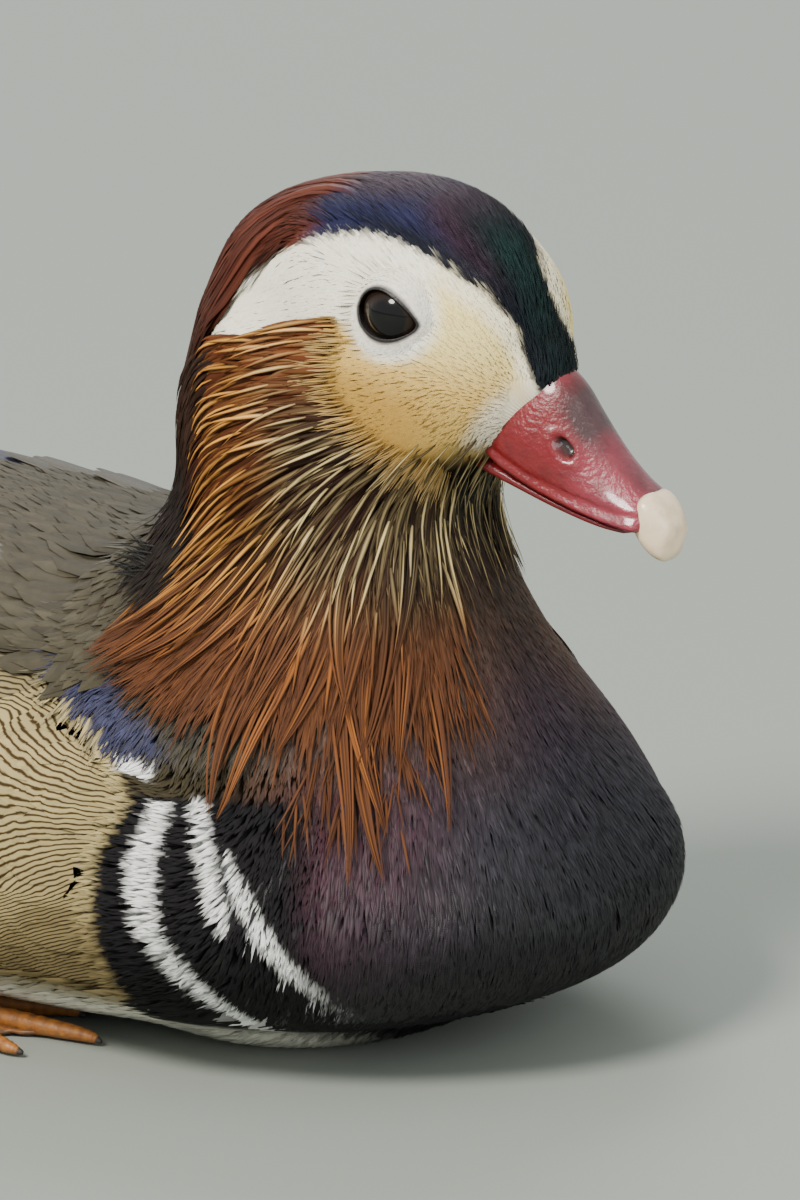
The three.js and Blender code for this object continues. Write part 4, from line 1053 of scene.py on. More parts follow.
def spaced(roots, bake, across, along):
    """Thins places so that the feathers on them lie evenly side by side."""
    g, _ = outward(roots)
    normal = unit(g)
    heading = lie(roots)
    heading = unit(heading - normal * (heading * normal).sum(-1, keepdims=True))
    side = np.cross(heading, normal)
    kept = []
    for i in range(len(roots)):
        gap = roots[kept] - roots[i]
        if (((gap @ heading[i]) / along) ** 2 + ((gap @ side[i]) / across) ** 2 + ((gap @ normal[i]) / 9) ** 2 < 1).any():
            continue
        kept.append(i)
    return roots[kept], bake[kept]


roots, bake = scatter(lambda p: 0.62 * ruff_density(p))
reach = (12 + 12 * ramp(-roots[:, 2], -116, -90)) * rng.uniform(0.7, 1.3, len(roots))
hackles("ruff_hackles", roots, bake, reach, 0.5, [-1.3, -0.3, 0.1, 0.3, 0.5, 0.6, 0.7], [0, 0.05, 0.1, 0.2], 0.08)

roots, bake = scatter(lambda p: 0.75 * (p[:, 2] > 64) * (p[:, 2] < 86) * (np.abs(p[:, 1]) > 12) * (p[:, 0] > 40)
                      * (p[:, 0] < 88))
hackles("ruff_fringe", roots, bake, rng.uniform(7, 15, len(roots)), 0.24, [-0.8, 0.1, 0.4, 0.7, 0.9],
        [0, 0.1, 0.3], 0.13)

roots, bake = scatter(lambda p: 0.9 * ruff_density(p))
roots, bake = spaced(roots, bake, 1.5, 7)
hackles("ruff_streaks", roots, bake, rng.uniform(11, 22, len(roots)), 0.38,
        [-0.6, 0.5, 0.9, 1.1, 1.2, 1.3, 1.3, 1.2], [0.3, 0.6, 0.9, 1, 1], 0.07, curl=0.12)

roots, bake = scatter(lambda p: 0.5 * (np.abs(p[:, 1]) > 16) * (p[:, 2] > 66) * (p[:, 2] < 92) * (p[:, 0] > 38)
                      * (p[:, 0] < 84))
roots, bake = spaced(roots, bake, 4.2, 11)
hackles("ruff_streamers", roots, bake, rng.uniform(20, 38, len(roots)), 0.24,
        [-0.6, 0.7, 1.2, 1.5, 1.7, 1.8, 1.9, 1.9, 1.8], [0, 0.1, 0.3, 0.8], 0.09, curl=0.22, lock=8, lock_width=1.3)


def throat_front(p):
    return (p[:, 2] > 82) & (p[:, 2] < 108) & (p[:, 0] > 68) & (to_head(p)[:, 0] < 24)


roots, bake = scatter(lambda p: 0.9 * throat_front(p))
roots, bake = spaced(roots, bake, 1.1, 4)
hackles("chin_hackles", roots, bake, rng.uniform(7, 13, len(roots)), 0.24, [-1.0, -0.1, 0.3, 0.5, 0.6],
        [0.2, 0.5, 0.8], 0.08)


def cheek_border(p):
    q = to_head(p)
    foot = np.interp(q[:, 0], CHEEK_FOOT[:, 0], CHEEK_FOOT[:, 1])
    rear = (np.abs(q[:, 0] + 4.5) < 2.5) & (q[:, 2] < -5) & (q[:, 2] > -15)
    return (rear | (np.abs(q[:, 2] - foot - 1.5) < 2)) & (q[:, 0] < 15) & (q[:, 0] > -8) & (np.abs(q[:, 1]) > 6)


roots, bake = scatter(lambda p: 1.5 * cheek_border(p))
fade = np.linspace(0, 1, 5)[:, None]
hackles("cheek_fringe", roots, bake, rng.uniform(4, 8, len(roots)), 0.15, [-0.9, -0.2, 0.1, 0.3, 0.4],
        None, 0.07, tint=(GOLD_BUFF * (1 - fade) + mix(RUFF_VANE_TOP, SHAFT_CREAM, 0.3) * fade)[None, :, None, :])

# ---------------------------------------------------------------- crest and nape


def crest_density(p):
    q = to_head(p)
    top = np.interp(q[:, 0], STRIPE_TOP[:, 0], STRIPE_TOP[:, 1])
    return 1.0 * (q[:, 0] < -12) * (q[:, 2] > np.maximum(top + 3, -16)) * (np.abs(q[:, 1]) < 11)


def crest_colours(p):
    q = to_head(p)
    x, y, z = q[..., 0], np.abs(q[..., 1]), q[..., 2]
    return crown_marks(x, y, z, np.interp(x, STRIPE_TOP[:, 0], STRIPE_TOP[:, 1]) - 3)


def long_feathers(name, material, roots, bake, length, half, heights, colours, way=lie, swing=0.06, roll=0.15,
                  taper=(0.5, 0.9, 1, 0.6, 0.05), columns=(-1, -0.4, 0, 0.4, 1), pale=1.25, ridge=0.3, rear=-99):
    s = len(heights)
    stations = np.linspace(0, 1, s)
    centre, across, up = grow(roots, length, heights, way, stations, swing, roll)
    kept = ~over_stripe(centre) & (centre[:, -1, 0] > rear)
    centre, across, up, bake, roots = centre[kept], across[kept], up[kept], bake[kept], roots[kept]
    form = np.interp(stations, np.linspace(0, 1, len(taper)), taper)
    halves = half * form * rng.uniform(0.8, 1.2, (len(roots), 1))
    colour = colours(centre) if callable(colours) else np.broadcast_to(colours, centre.shape)
    lights = 1 + (pale - 1) * (1 - np.abs(np.array(columns)))
    tint = colour[:, :, None] * lights[:, None] * rng.uniform(0.6, 1.3, (len(roots), 1, 1, 1))
    feather_piece(name, material, centre, across, up, halves, halves * ridge, np.clip(tint, 0, 1), bake,
                  columns)


roots, bake = scatter(crest_density)
long_feathers("crest", CROWN_GLOSS, roots, bake, rng.uniform(26, 56, len(roots)), 0.8,
              [-1.2, -0.4, 0, 0.3, 0.5, 0.7, 0.9, 1], crest_colours)


def mane_edge(p):
    """The rear edge of the mane, from under the crest to the shoulders."""
    y = np.abs(p[:, 1])
    return (p[:, 0] < 42) & (p[:, 0] > 24) & (p[:, 2] > 80) & (p[:, 2] < 116) & (y < 22) & (to_head(p)[:, 2] < -20)


roots, bake = scatter(lambda p: 1.1 * mane_edge(p))
long_feathers("nape", RUFF_SILK, roots, bake, rng.uniform(9, 16, len(roots)), 0.5,
              [-1.2, 0, 0.7, 1.2, 1.5, 1.6], lambda p: crest_colours(p), swing=0.1, rear=27)


def tuft_place(p):
    return 1.4 * (np.hypot(p[:, 0] - 33, (p[:, 2] - 78.5) * 0.8) < 2.8) * (np.abs(p[:, 1]) > 18)


roots, bake = scatter(tuft_place)
long_feathers("nape_tuft", RUFF_SILK, roots, bake, rng.uniform(5, 9, len(roots)), 0.22,
              [-0.8, 0.8, 1.6, 2.0, 2.2], lambda p: np.broadcast_to(THROAT, p.shape),
              lambda p: np.broadcast_to(np.array([-1.0, 0, -0.1]), p.shape), swing=0.4)

# ---------------------------------------------------------------- wings

COVERT_BROWN = np.array([0.055, 0.046, 0.029])
COVERT_EDGE = np.array([0.085, 0.072, 0.046])
SPECULUM = np.array([0.008, 0.030, 0.034])
PRIMARY_BROWN = np.array([0.034, 0.030, 0.027])
SILVER_EDGE = np.array([0.42, 0.42, 0.42])
SCAPULAR_BLUE = np.array([0.012, 0.014, 0.034])
SAIL_ORANGE = np.array([0.40, 0.092, 0.008])
SAIL_DARK = np.array([0.012, 0.016, 0.034])
SAIL_EDGE = np.array([0.62, 0.42, 0.22])
VANE_COLUMNS = (-1, -0.82, -0.4, -0.06, 0, 0.06, 0.4, 0.82, 1)


def rounded(t, blunt=2.6, root=0.5, widest=0.3):
    """Half-width of a feather along its length t, from its root to its rounded tip."""
    tip = np.sqrt(np.clip(1 - np.clip((t - 0.55) / 0.45, 0, 1) ** blunt, 0, 1))
    return np.maximum(tip * (root + (1 - root) * ramp(t, 0, widest)), 0.02)


def flight_feathers(name, centre, across, up, half, vane, edge, tip=None, material=None, replaces=(),
                    shaft=0.45, form=None):
    """Vanes with a shaft line, an edge colour and a tip colour."""
    n, s = centre.shape[:2]
    form = rounded(np.linspace(0, 1, s)) if form is None else form
    halves = np.broadcast_to(half, n)[:, None] * form
    c = np.abs(np.array(VANE_COLUMNS))
    rim = ramp(c, 0.8, 0.95)[None, None, :, None]
    tint = np.broadcast_to(vane, (n, s, 3))[:, :, None] * (1 - rim) + edge * rim
    tint = tint * (1 - shaft * (1 - ramp(c, 0.02, 0.07)))[None, None, :, None]
    if tip is not None:
        at = ramp(np.linspace(0, 1, s), 0.82, 0.95)[None, :, None, None]
        tint = tint * (1 - at) + tip * at
    tint = tint * rng.uniform(0.85, 1.15, (n, 1, 1, 1))
    bake = unwrap_place(centre[:, 0])
    feather_piece(name, material or QUILLS, centre, across, up, halves, halves * 0.08 + 0.15, tint, bake,
                  VANE_COLUMNS, 0.35, replaces)


def unwrap_place(p):
    """The unwrap's place nearest to a point."""
    near = [np.argmin(((skin_middles - one) ** 2).sum(1)) for one in p]
    return skin_unwrap[near].mean(1)


def on_torso(x, angle, side):
    x, angle = np.broadcast_arrays(np.asarray(x, float), np.asarray(angle, float))
    start = np.stack([x, np.zeros_like(x), torso_at(x)[0]], -1)
    way = np.stack([np.zeros_like(x), side * np.cos(angle), np.sin(angle)], -1)
    return cast(start, way)


def wing_way(p):
    return unit(np.stack([-np.ones(len(p)), np.zeros(len(p)), np.full(len(p), -0.10)], -1))


for side, label in ((-1, "right"), (1, "left")):
    first = True
    rows = (
        ("coverts_1", 16, 24, 9, 24, 60, 4.0, COVERT_BROWN, COVERT_EDGE, None),
        ("coverts_2", 3, 26, 10, 24, 61, 4.3, COVERT_BROWN, COVERT_EDGE, None),
        ("coverts_3", -11, 28, 10, 25, 62, 4.6, COVERT_BROWN, COVERT_EDGE, None),
        ("coverts_4", -25, 31, 10, 25, 63, 4.9, COVERT_BROWN * 0.9, COVERT_EDGE, None),
        ("coverts_5", -39, 34, 10, 26, 64, 5.2, COVERT_BROWN * 0.8, COVERT_EDGE, None),
        ("secondaries", -52, 52, 8, 26, 66, 6.2, SPECULUM, PRIMARY_BROWN, np.array([0.7, 0.7, 0.68])),
    )
    t = 1 - (1 - np.linspace(0, 1, 12)) ** 1.5
    for row, x, length, count, low, high, half, vane, edge, tip in rows:
        angle = np.radians(np.linspace(low, high, count) + rng.normal(0, 0.5, count))
        place = on_torso(x - 5 * np.cos(np.linspace(-1.3, 1.3, count)) + rng.normal(0, 1.2, count), angle, side)
        centre, across, up = grow(place, length, -1.6 + 2.5 * t, wing_way, t, 0.03, 0.03)
        flight_feathers(f"wing_{label}_{row}", centre, across, up, half, vane, edge, tip,
                        replaces=(f"wing_{label}",) if first else (), form=rounded(t, 1.9))
        first = False
    # primaries, crossing over the rump
    count = 6
    root = on_torso(np.full(count, -84.0), np.radians(np.linspace(44, 66, count)), side)
    tip = np.stack([-134 - 2.6 * np.arange(count), side * np.linspace(18, 5, count), np.linspace(73, 78, count)], -1)
    t = np.linspace(0, 1, 14)[None, :, None]
    centre = root[:, None] * (1 - t) + tip[:, None] * t + np.array([0, 0, 3.0]) * np.sin(np.pi * t)
    heading = unit(np.gradient(centre, axis=1))
    up = unit(np.array([0, side * 0.35, 1.0]) - heading * (heading * np.array([0, side * 0.35, 1.0])).sum(-1, keepdims=True))
    flight_feathers(f"wing_{label}_primaries", centre, np.cross(heading, up), up, 4.2, PRIMARY_BROWN,
                    SILVER_EDGE, form=rounded(np.linspace(0, 1, 14), 1.8, 0.6))
    # scapulars
    count = 9
    angle = np.radians(np.linspace(56, 84, count))
    place = on_torso(np.linspace(-2, -30, count), angle, side)
    centre, across, up = grow(place, np.linspace(58, 70, count), np.linspace(-1, 1.6, 13), wing_way, None, 0.02, 0.02)
    flight_feathers(f"wing_{label}_scapulars", centre, across, up, 4.6, SCAPULAR_BLUE, COVERT_BROWN,
                    form=rounded(np.linspace(0, 1, 13), 1.5, 0.6))


def make_sail(side, label):
    """The raised sail feather: a broad web standing on its shaft."""
    shaft = smooth_rows([(0, -30, 26, 75.5), (0.25, -50, 28, 75.5), (0.5, -68, 29, 78), (0.75, -84, 29, 82.5), (1, -98, 27, 88)], 0.01)
    rim = smooth_rows([(0, -31, 26, 79), (0.25, -43, 28, 98), (0.5, -60, 29.5, 112), (0.75, -77, 29.5, 120.5), (1, -97, 27, 124)], 0.01)
    form = bmesh.new()
    bmesh.ops.create_grid(form, x_segments=80, y_segments=40, size=0.5)
    flat = np.array([v.co[:] for v in form.verts])
    u, v = flat[:, 0] + 0.5, flat[:, 1] + 0.5
    low, high = np.stack(shaft(u), -1), np.stack(rim(u), -1)
    p = low + (high - low) * v[:, None]
    p[:, 0] -= 5 * np.sin(np.pi * v) * u
    p[:, 1] = p[:, 1] + 3.5 * np.sin(np.pi * v) * u + 0.25 * np.sin(40 * u + 9 * v) * v
    notch = 0.35 * rng.random(len(v)) * ramp(v, 0.96, 1)
    p[:, 2] -= notch
    p[:, 1] *= side
    for vertex, place in zip(form.verts, p * MM):
        vertex.co = place
    layer = form.loops.layers.uv.new("OFBake")
    for face in form.faces:
        face.smooth = True
        for loop in face.loops:
            k = loop.vert.index
            loop[layer].uv = (0.955 + 0.035 * v[k], 0.1 + 0.3 * u[k] + (0.45 if side > 0 else 0))
    bmesh.ops.recalc_face_normals(form, faces=form.faces)
    mesh = bpy.data.meshes.new(f"sail_{label}")
    form.to_mesh(mesh)
    form.free()
    colour = mix(SAIL_ORANGE, SAIL_ORANGE * 0.55, ramp(u, 0.7, 1.0) * 0.8)
    colour = mix(colour, SAIL_DARK, (1 - ramp(v, 0.04, 0.10)))
    colour = mix(colour, SAIL_EDGE, ramp(v, 0.955, 0.985))
    colour = mix(colour, SAIL_DARK, ramp(u, 0.93, 0.985) * 0.9)
    add_tint(mesh, colour)
    vane = np.stack([v * 0 + 0.0, u * 75 - v * 10, v * 0], -1)
    mesh.attributes.new("vane", "FLOAT_VECTOR", "POINT").data.foreach_set("vector", vane.astype(np.float32).ravel())
    piece = make_object(f"sail_{label}", mesh, QUILLS)
    thick = piece.modifiers.new("thickness", "SOLIDIFY")
    thick.thickness = 0.5 * MM
    thick.offset = 0


make_sail(-1, "right")
make_sail(1, "left")

# ---------------------------------------------------------------- tail

TAIL_BROWN = np.array([0.036, 0.033, 0.024])
TAIL_EDGE = np.array([0.075, 0.065, 0.045])
COVERT_DARK = np.array([0.017, 0.018, 0.014])


def tail_height(x, y):
    """Height of the fanned tail feathers at x, y."""
    reach = np.maximum(-131 - x, 0.1)
    spread = np.minimum(np.abs(y) / (0.0767 * reach + 0.5), 6)
    return 57.5 - 1.1 * spread - 7 * (reach / 72) ** 2 - 0.16 * reach


def tail_coverts(name, x, length, upward, clearance, bulge, colour):
    """A row of feathers from the rump out over the tail, or from the belly out under it."""
    cover = np.arange(-6, 7) + rng.normal(0, 0.12, 13)
    y = 1.9 * cover
    start = np.stack([np.full(13, float(x)) + rng.normal(0, 0.8, 13), y, torso_at(np.full(13, float(x)))[0]], -1)
    root = cast(start, np.broadcast_to([0, 0, float(upward)], start.shape))
    turn = np.radians(2.6) * cover
    end = root + np.stack([-length * np.cos(turn), length * np.sin(turn), 0 * y], -1)
    end[:, 2] = tail_height(end[:, 0], end[:, 1]) + upward * clearance
    t = (1 - (1 - np.linspace(0, 1, 12)) ** 1.4)[None, :, None]
    centre = root[:, None] * (1 - t) + end[:, None] * t + np.array([0, 0, upward * bulge]) * np.sin(np.pi * t)
    heading = unit(np.gradient(centre, axis=1))
    lean = np.array([0, 0, float(upward)]) + np.array([0, 0.1, 0]) * cover[:, None, None]
    up = unit(lean - heading * (heading * lean).sum(-1, keepdims=True))
    flight_feathers(name, centre, np.cross(heading, up), up, 3.4, colour, colour * 1.2,
                    form=rounded(t[0, :, 0], 1.9, 0.6))


def make_tail():
    spread = np.concatenate([np.arange(-6, 0), np.arange(1, 7), [0]])
    t = 1 - (1 - np.linspace(0, 1, 16)) ** 1.5
    form = rounded(t, 2.4, 0.6)
    t = t[None, :]
    turn = np.radians(4.4) * spread[:, None]
    reach = (72 - 1.0 * np.abs(spread[:, None])) * t
    x = -131 - reach * np.cos(turn)
    y = reach * np.sin(turn) + 0.5 * spread[:, None]
    z = 57.5 - 1.1 * np.abs(spread[:, None]) - 7 * t**2 - 0.16 * reach - 0.3 * (spread[:, None] % 2)
    centre = np.stack([x, y, z], -1)
    heading = unit(np.gradient(centre, axis=1))
    up = np.broadcast_to([0, 0, 1.0], centre.shape) + np.stack([0 * y, 0.06 * spread[:, None] + 0 * y, 0 * y], -1)
    up = unit(up - heading * (heading * up).sum(-1, keepdims=True))
    flight_feathers("tail_feathers", centre, np.cross(heading, up), up, 5.6, TAIL_BROWN, TAIL_EDGE,
                    replaces=("tail",), form=form)
    tail_coverts("tail_upper_coverts_1", -122, 28, 1, 7.5, 1.8, COVERT_DARK)
    tail_coverts("tail_upper_coverts_2", -132, 27, 1, 2.6, 4.0, COVERT_DARK)
    tail_coverts("tail_lower_coverts_1", -118, 30, -1, 12, 0, BELLY_WHITE)
    tail_coverts("tail_lower_coverts_2", -130, 36, -1, 2.5, 0, BELLY_WHITE)


make_tail()

# ---------------------------------------------------------------- bill


def lofted(name, rows, around, along, shape, colours, material, replaces, ends=(0.04, 0.04)):
    """A closed form lofted through head-frame stations: x, bottom, top, half-width."""
    at = smooth_rows(rows, 0.1)
    first, last = rows[0][0], rows[-1][0]
    form = bmesh.new()
    bmesh.ops.create_uvsphere(form, u_segments=around, v_segments=along, radius=1)
    ball = np.array([v.co[:] for v in form.verts])
    v = np.arccos(np.clip(-ball[:, 2], -1, 1)) / np.pi
    angle = np.arctan2(ball[:, 1], ball[:, 0])
    close = np.sqrt(np.clip(1 - np.clip(1 - v / ends[0], 0, 1) ** 2, 0, 1))
    close = close * np.sqrt(np.clip(1 - np.clip(1 - (1 - v) / ends[1], 0, 1) ** 2, 0, 1))
    x = first + (last - first) * v
    q = shape(x, angle, close, at)
    p = from_head(q)
    for vertex, place in zip(form.verts, p * MM):
        vertex.co = place
    bmesh.ops.recalc_face_normals(form, faces=form.faces)
    for face in form.faces:
        face.smooth = True
    mesh = bpy.data.meshes.new(name)
    form.to_mesh(mesh)
    form.free()
    add_tint(mesh, colours(q))
    return make_object(name, mesh, material, replaces)


BILL_RED = np.array([0.175, 0.007, 0.011])
BILL_PINK = np.array([0.27, 0.036, 0.058])
BILL_GREY = np.array([0.033, 0.026, 0.027])
# near-black red for painted shade: in the nostril, along the join of the bill's halves and under the lower bill
BILL_PAINTED_SHADE = np.array([0.020, 0.008, 0.008])
NAIL_PINK = np.array([0.78, 0.62, 0.42])
NAIL_EDGE = np.array([0.15, 0.10, 0.10])
UPPER_BILL = [
    (18, -18.5, -4.5, 7.0), (21, -19.4, -2.6, 8.0), (24, -20.1, -1.4, 8.5), (27, -20.5, -1.2, 8.5), (30.5, -20.9, -2.4, 8.1),
    (34, -21, -4.8, 7.7), (38, -21, -7.5, 7.2), (42, -20.7, -9.9, 6.8), (46.5, -20.2, -11.9, 6.4), (50.5, -19.5, -13.0, 5.9),
    (52.4, -19.0, -13.8, 4.9),
]
LOWER_BILL = [
    (14, -23.4, -19.4, 5.6), (20, -23.2, -19.8, 6.4), (27, -22.9, -20.2, 6.4), (36, -22.6, -20.4, 6),
    (44, -21.9, -20.1, 5.4), (49.5, -20.9, -19.6, 4.2),
]
NAIL = [
    (48.4, -18.6, -13.4, 3.4), (50.0, -20.3, -12.9, 4.7), (51.6, -21.7, -13.1, 4.9), (53.2, -22.7, -13.9, 4.6),
    (54.8, -23.2, -15.1, 4.0), (56.2, -23.0, -16.7, 3.0), (57.2, -22.0, -18.6, 1.4),
]
NOSTRIL = np.array([34.2, -11.2])


def nostril_reach(x, z):
    slope = np.radians(-26)
    dx, dz = x - NOSTRIL[0], z - NOSTRIL[1]
    a = dx * np.cos(slope) + dz * np.sin(slope)
    b = -dx * np.sin(slope) + dz * np.cos(slope)
    return np.hypot(a / 2.7, b / 1.35)


def upper_bill_shape(x, angle, close, at):
    bottom, top, width = at(x)
    middle = bottom + (top - bottom) * 0.22
    c, s = np.cos(angle), np.sin(angle)
    high = s > 0
    slim = 1 - 0.10 * ramp(x, 20, 30)
    y = width * np.sign(c) * np.abs(c) ** np.where(high, 0.80, 0.5) * np.where(high, 1, 1)
    y = y * (1 - 0.22 * slim * ramp(s, 0.15, 0.9))
    reach = np.where(high, top - middle, middle - bottom)
    z = middle + reach * np.sign(s) * np.abs(s) ** np.where(high, 1.0, 0.55)
    over = z - bottom
    y = y + np.sign(y) * (0.45 * np.exp(-((over - 1.1) / 0.8) ** 2) - 0.35 * np.exp(-((over - 2.9) / 0.7) ** 2))
    hole = nostril_reach(x, z)
    y = y - np.sign(y) * (1.5 * (1 - ramp(hole, 0.45, 0.95)) - 0.22 * np.exp(-((hole - 1.25) / 0.28) ** 2)) * high
    centre = (middle + bottom) / 2
    return np.stack([x, y * close, centre + (z - centre) * close], -1)


def upper_bill_colours(q):
    x, y, z = q[:, 0], np.abs(q[:, 1]), q[:, 2]
    bottom = np.interp(x, [r[0] for r in UPPER_BILL], [r[1] for r in UPPER_BILL])
    top = np.interp(x, [r[0] for r in UPPER_BILL], [r[2] for r in UPPER_BILL])
    height = (z - bottom) / (top - bottom)
    # pinker towards the tip, the bill's own colour; the pink that comes earlier along the top, and on the top near the
    # base, is a painted sheen
    colour = mix(BILL_RED, BILL_PINK, 0.8 * ramp(x + 6 * height, 34, 48))
    colour = mix(colour, BILL_PINK, 0.4 * ramp(height, 0.6, 1) * (1 - ramp(x, 27, 31)))
    grey = np.exp(-((x - 34.5) / 5.0) ** 2) * ramp(height, 0.68, 0.92)
    colour = mix(colour, BILL_GREY, np.clip(1.1 * grey, 0, 0.85))
    colour = mix(colour, BILL_GREY, 0.5 * ramp(height, 0.8, 1.0) * ramp(x, 38, 46))
    # painted shade in the nostril's dent and along the upper bill's lower edge, where it meets the lower bill
    colour = mix(colour, BILL_PAINTED_SHADE, 1 - ramp(nostril_reach(x, z), 0.55, 0.95))
    colour = mix(colour, BILL_PAINTED_SHADE, 0.9 * (1 - ramp(z - bottom, 0.1, 0.6)))
    return colour


def lower_bill_shape(x, angle, close, at):
    bottom, top, width = at(x)
    middle = (bottom + top) / 2
    c, s = np.cos(angle), np.sin(angle)
    y = width * np.sign(c) * np.abs(c) ** 0.7 * close
    return np.stack([x, y, middle + (top - bottom) / 2 * np.sign(s) * np.abs(s) ** 0.8 * close], -1)


def lower_bill_colours(q):
    # darker at the bottom: painted shade under the lower bill
    return mix(BILL_RED, BILL_PAINTED_SHADE, 0.5 * ramp(-q[:, 2], 21.5, 23.5))


def nail_colours(q):
    colour = mix(NAIL_PINK, NAIL_PINK * 1.12, ramp(-q[:, 2], 14, 20))
    return mix(NAIL_EDGE, colour, ramp(q[:, 0] + 0.12 * np.abs(q[:, 1]) ** 1.5, 49.4, 51.0))


lofted("bill_upper_skin", UPPER_BILL, 144, 128, upper_bill_shape, upper_bill_colours, BILL_SKIN,
       ("bill_upper",))
lofted("bill_lower_skin", LOWER_BILL, 64, 60, lower_bill_shape, lower_bill_colours, BILL_SKIN,
       ("bill_lower",))
lofted("bill_nail_horn", NAIL, 72, 64, lower_bill_shape, nail_colours, NAIL_HORN, ("bill_nail",),
       (0.08, 0.16))

# ---------------------------------------------------------------- eyes

EYE_MIDDLE, EYE_RADIUS = np.array([1.8, 13.4, 0.8]), 6.8
EYE_OPENING = np.array([
    (-4.1, -0.7), (-3.9, 1.2), (-2.8, 3.3), (-0.9, 4.8), (1.5, 5.3), (4.3, 4.7), (6.4, 3.5), (7.7, 2.0),
    (7.6, 0.6), (6.5, -0.8), (5.0, -2.0), (3.0, -2.9), (0.7, -3.2), (-2.3, -2.7),
])
IRIS = np.array([0.016, 0.009, 0.006])
PUPIL = np.array([0.003, 0.003, 0.003])
# the lid's dark rim, also used as painted shade on the inner wall
LID_RIM_AND_SHADE = np.array([0.016, 0.014, 0.014])
LID_PALE = np.array([0.86, 0.82, 0.72])


def head_skin_side(x, z):
    """How far out, y, the skin of the head stands at x, z in the head's frame."""
    start = from_head(np.stack([x, np.zeros_like(x), z], -1))
    way = np.broadcast_to(HEAD_AXES @ np.array([0.0, 1, 0]), start.shape)
    out = cast(start, way, -coat_depth(cast(start, way)))
    return to_head(out)[..., 1]


def opening_at(turn):
    wrapped = np.concatenate([EYE_OPENING, EYE_OPENING, EYE_OPENING])
    count = len(EYE_OPENING)
    at = np.arange(-count, 2 * count)
    rows = [(float(i), *place) for i, place in zip(at, wrapped)]
    return np.stack(smooth_rows(rows, 0.02)(turn * count), -1)


def make_eye(side, label):
    form = bmesh.new()
    bmesh.ops.create_uvsphere(form, u_segments=72, v_segments=48, radius=1)
    ball = np.array([v.co[:] for v in form.verts])
    look = unit(np.array([0.18, side * 1.0, 0.02]))
    facing = ball @ look
    radius = EYE_RADIUS + 0.35 * ramp(facing, 0.72, 0.95)
    q = EYE_MIDDLE * (1, side, 1) + ball * radius[:, None]
    for vertex, place in zip(form.verts, from_head(q) * MM):
        vertex.co = place
    for face in form.faces:
        face.smooth = True
    bmesh.ops.recalc_face_normals(form, faces=form.faces)
    mesh = bpy.data.meshes.new(f"eyeball_{label}")
    form.to_mesh(mesh)
    form.free()
    add_tint(mesh, mix(IRIS, PUPIL, ramp(facing, 0.86, 0.90)), 0.6 * ramp(facing, 0.72, 0.9))
    make_object(f"eyeball_{label}", mesh, EYE_GLASS, (f"eye_{label}",))


def lid_places(turn, v, side):
    """The eyelid at angle turn (0 to 1) and v: outer skin, rolled rim, inner wall, back under the skin."""
    inner = opening_at(turn)
    centre = np.array([2.6, 0.9])
    outer = centre + (inner - centre) * 1.42 + unit(inner - centre) * 0.4
    gap = outer - EYE_MIDDLE[[0, 2]]
    far = np.linalg.norm(gap, axis=1, keepdims=True)
    outer = EYE_MIDDLE[[0, 2]] + gap * np.maximum(1, 7.9 / far)
    dx, dz = inner[:, 0] - EYE_MIDDLE[0], inner[:, 1] - EYE_MIDDLE[2]
    on_ball = EYE_MIDDLE[1] + np.sqrt(np.clip(7.1**2 - dx**2 - dz**2, 0, None))
    inner_y = np.maximum(on_ball, head_skin_side(inner[:, 0], inner[:, 1]) - 0.1)
    outer_y = head_skin_side(outer[:, 0], outer[:, 1]) - 0.25
    reach = np.interp(v, [0, 0.45, 0.5, 0.55, 0.6, 0.8, 1], [0, 1, 1.06, 1.06, 1.0, 0.9, 0])
    flat_place = outer + (inner - outer) * reach[:, None]
    y = outer_y + (inner_y - outer_y) * np.clip(reach, 0, 1) ** 1.3
    y = y + 0.35 * np.sin(np.pi * np.clip(v / 0.5, 0, 1)) * (v < 0.5)
    y = y + np.interp(v, [0, 0.42, 0.5, 0.56, 0.65, 0.85, 1], [0, 0.25, 0.2, -0.25, -1.3, -1.9, -0.0])
    dx, dz = flat_place[:, 0] - EYE_MIDDLE[0], flat_place[:, 1] - EYE_MIDDLE[2]
    clear = EYE_MIDDLE[1] + np.sqrt(np.clip(7.45**2 - dx**2 - dz**2, 0, None))
    y = np.where((v < 0.56) & (clear > EYE_MIDDLE[1] + 0.01), -blend(-y, -clear, 1.6 * ramp(v, 0, 0.1) + 0.01), y)
    y = y + 0.04 * np.sin(turn * 2 * np.pi * 34) * np.sin(np.pi * np.clip(v / 0.42, 0, 1)) * (v < 0.42)
    return from_head(np.stack([flat_place[:, 0], side * y, flat_place[:, 1]], -1))


def make_lid(side, label):
    form = bmesh.new()
    bmesh.ops.create_grid(form, x_segments=120, y_segments=26, size=0.5)
    flat = np.array([v.co[:] for v in form.verts])
    turn, v = flat[:, 0] + 0.5, flat[:, 1] + 0.5
    for vertex, place in zip(form.verts, lid_places(turn, v, side) * MM):
        vertex.co = place
    # dark from near the rim inwards: the lid's own dark rim, and painted shade on the inner wall and the part back
    # under the skin
    tint = mix(LID_PALE, LID_RIM_AND_SHADE, ramp(v, 0.33, 0.42))
    colour_layer = form.verts.layers.float_vector.new("kept")
    for vertex, colour in zip(form.verts, tint):
        vertex[colour_layer] = colour
    bmesh.ops.remove_doubles(form, verts=form.verts, dist=0.00001)
    bmesh.ops.recalc_face_normals(form, faces=form.faces)
    tint = np.array([vertex[colour_layer][:] for vertex in form.verts])
    form.verts.layers.float_vector.remove(colour_layer)
    for face in form.faces:
        face.smooth = True
    mesh = bpy.data.meshes.new(f"eyelid_{label}")
    form.to_mesh(mesh)
    form.free()
    add_tint(mesh, tint)
    make_object(f"eyelid_{label}", mesh, LID_SKIN)


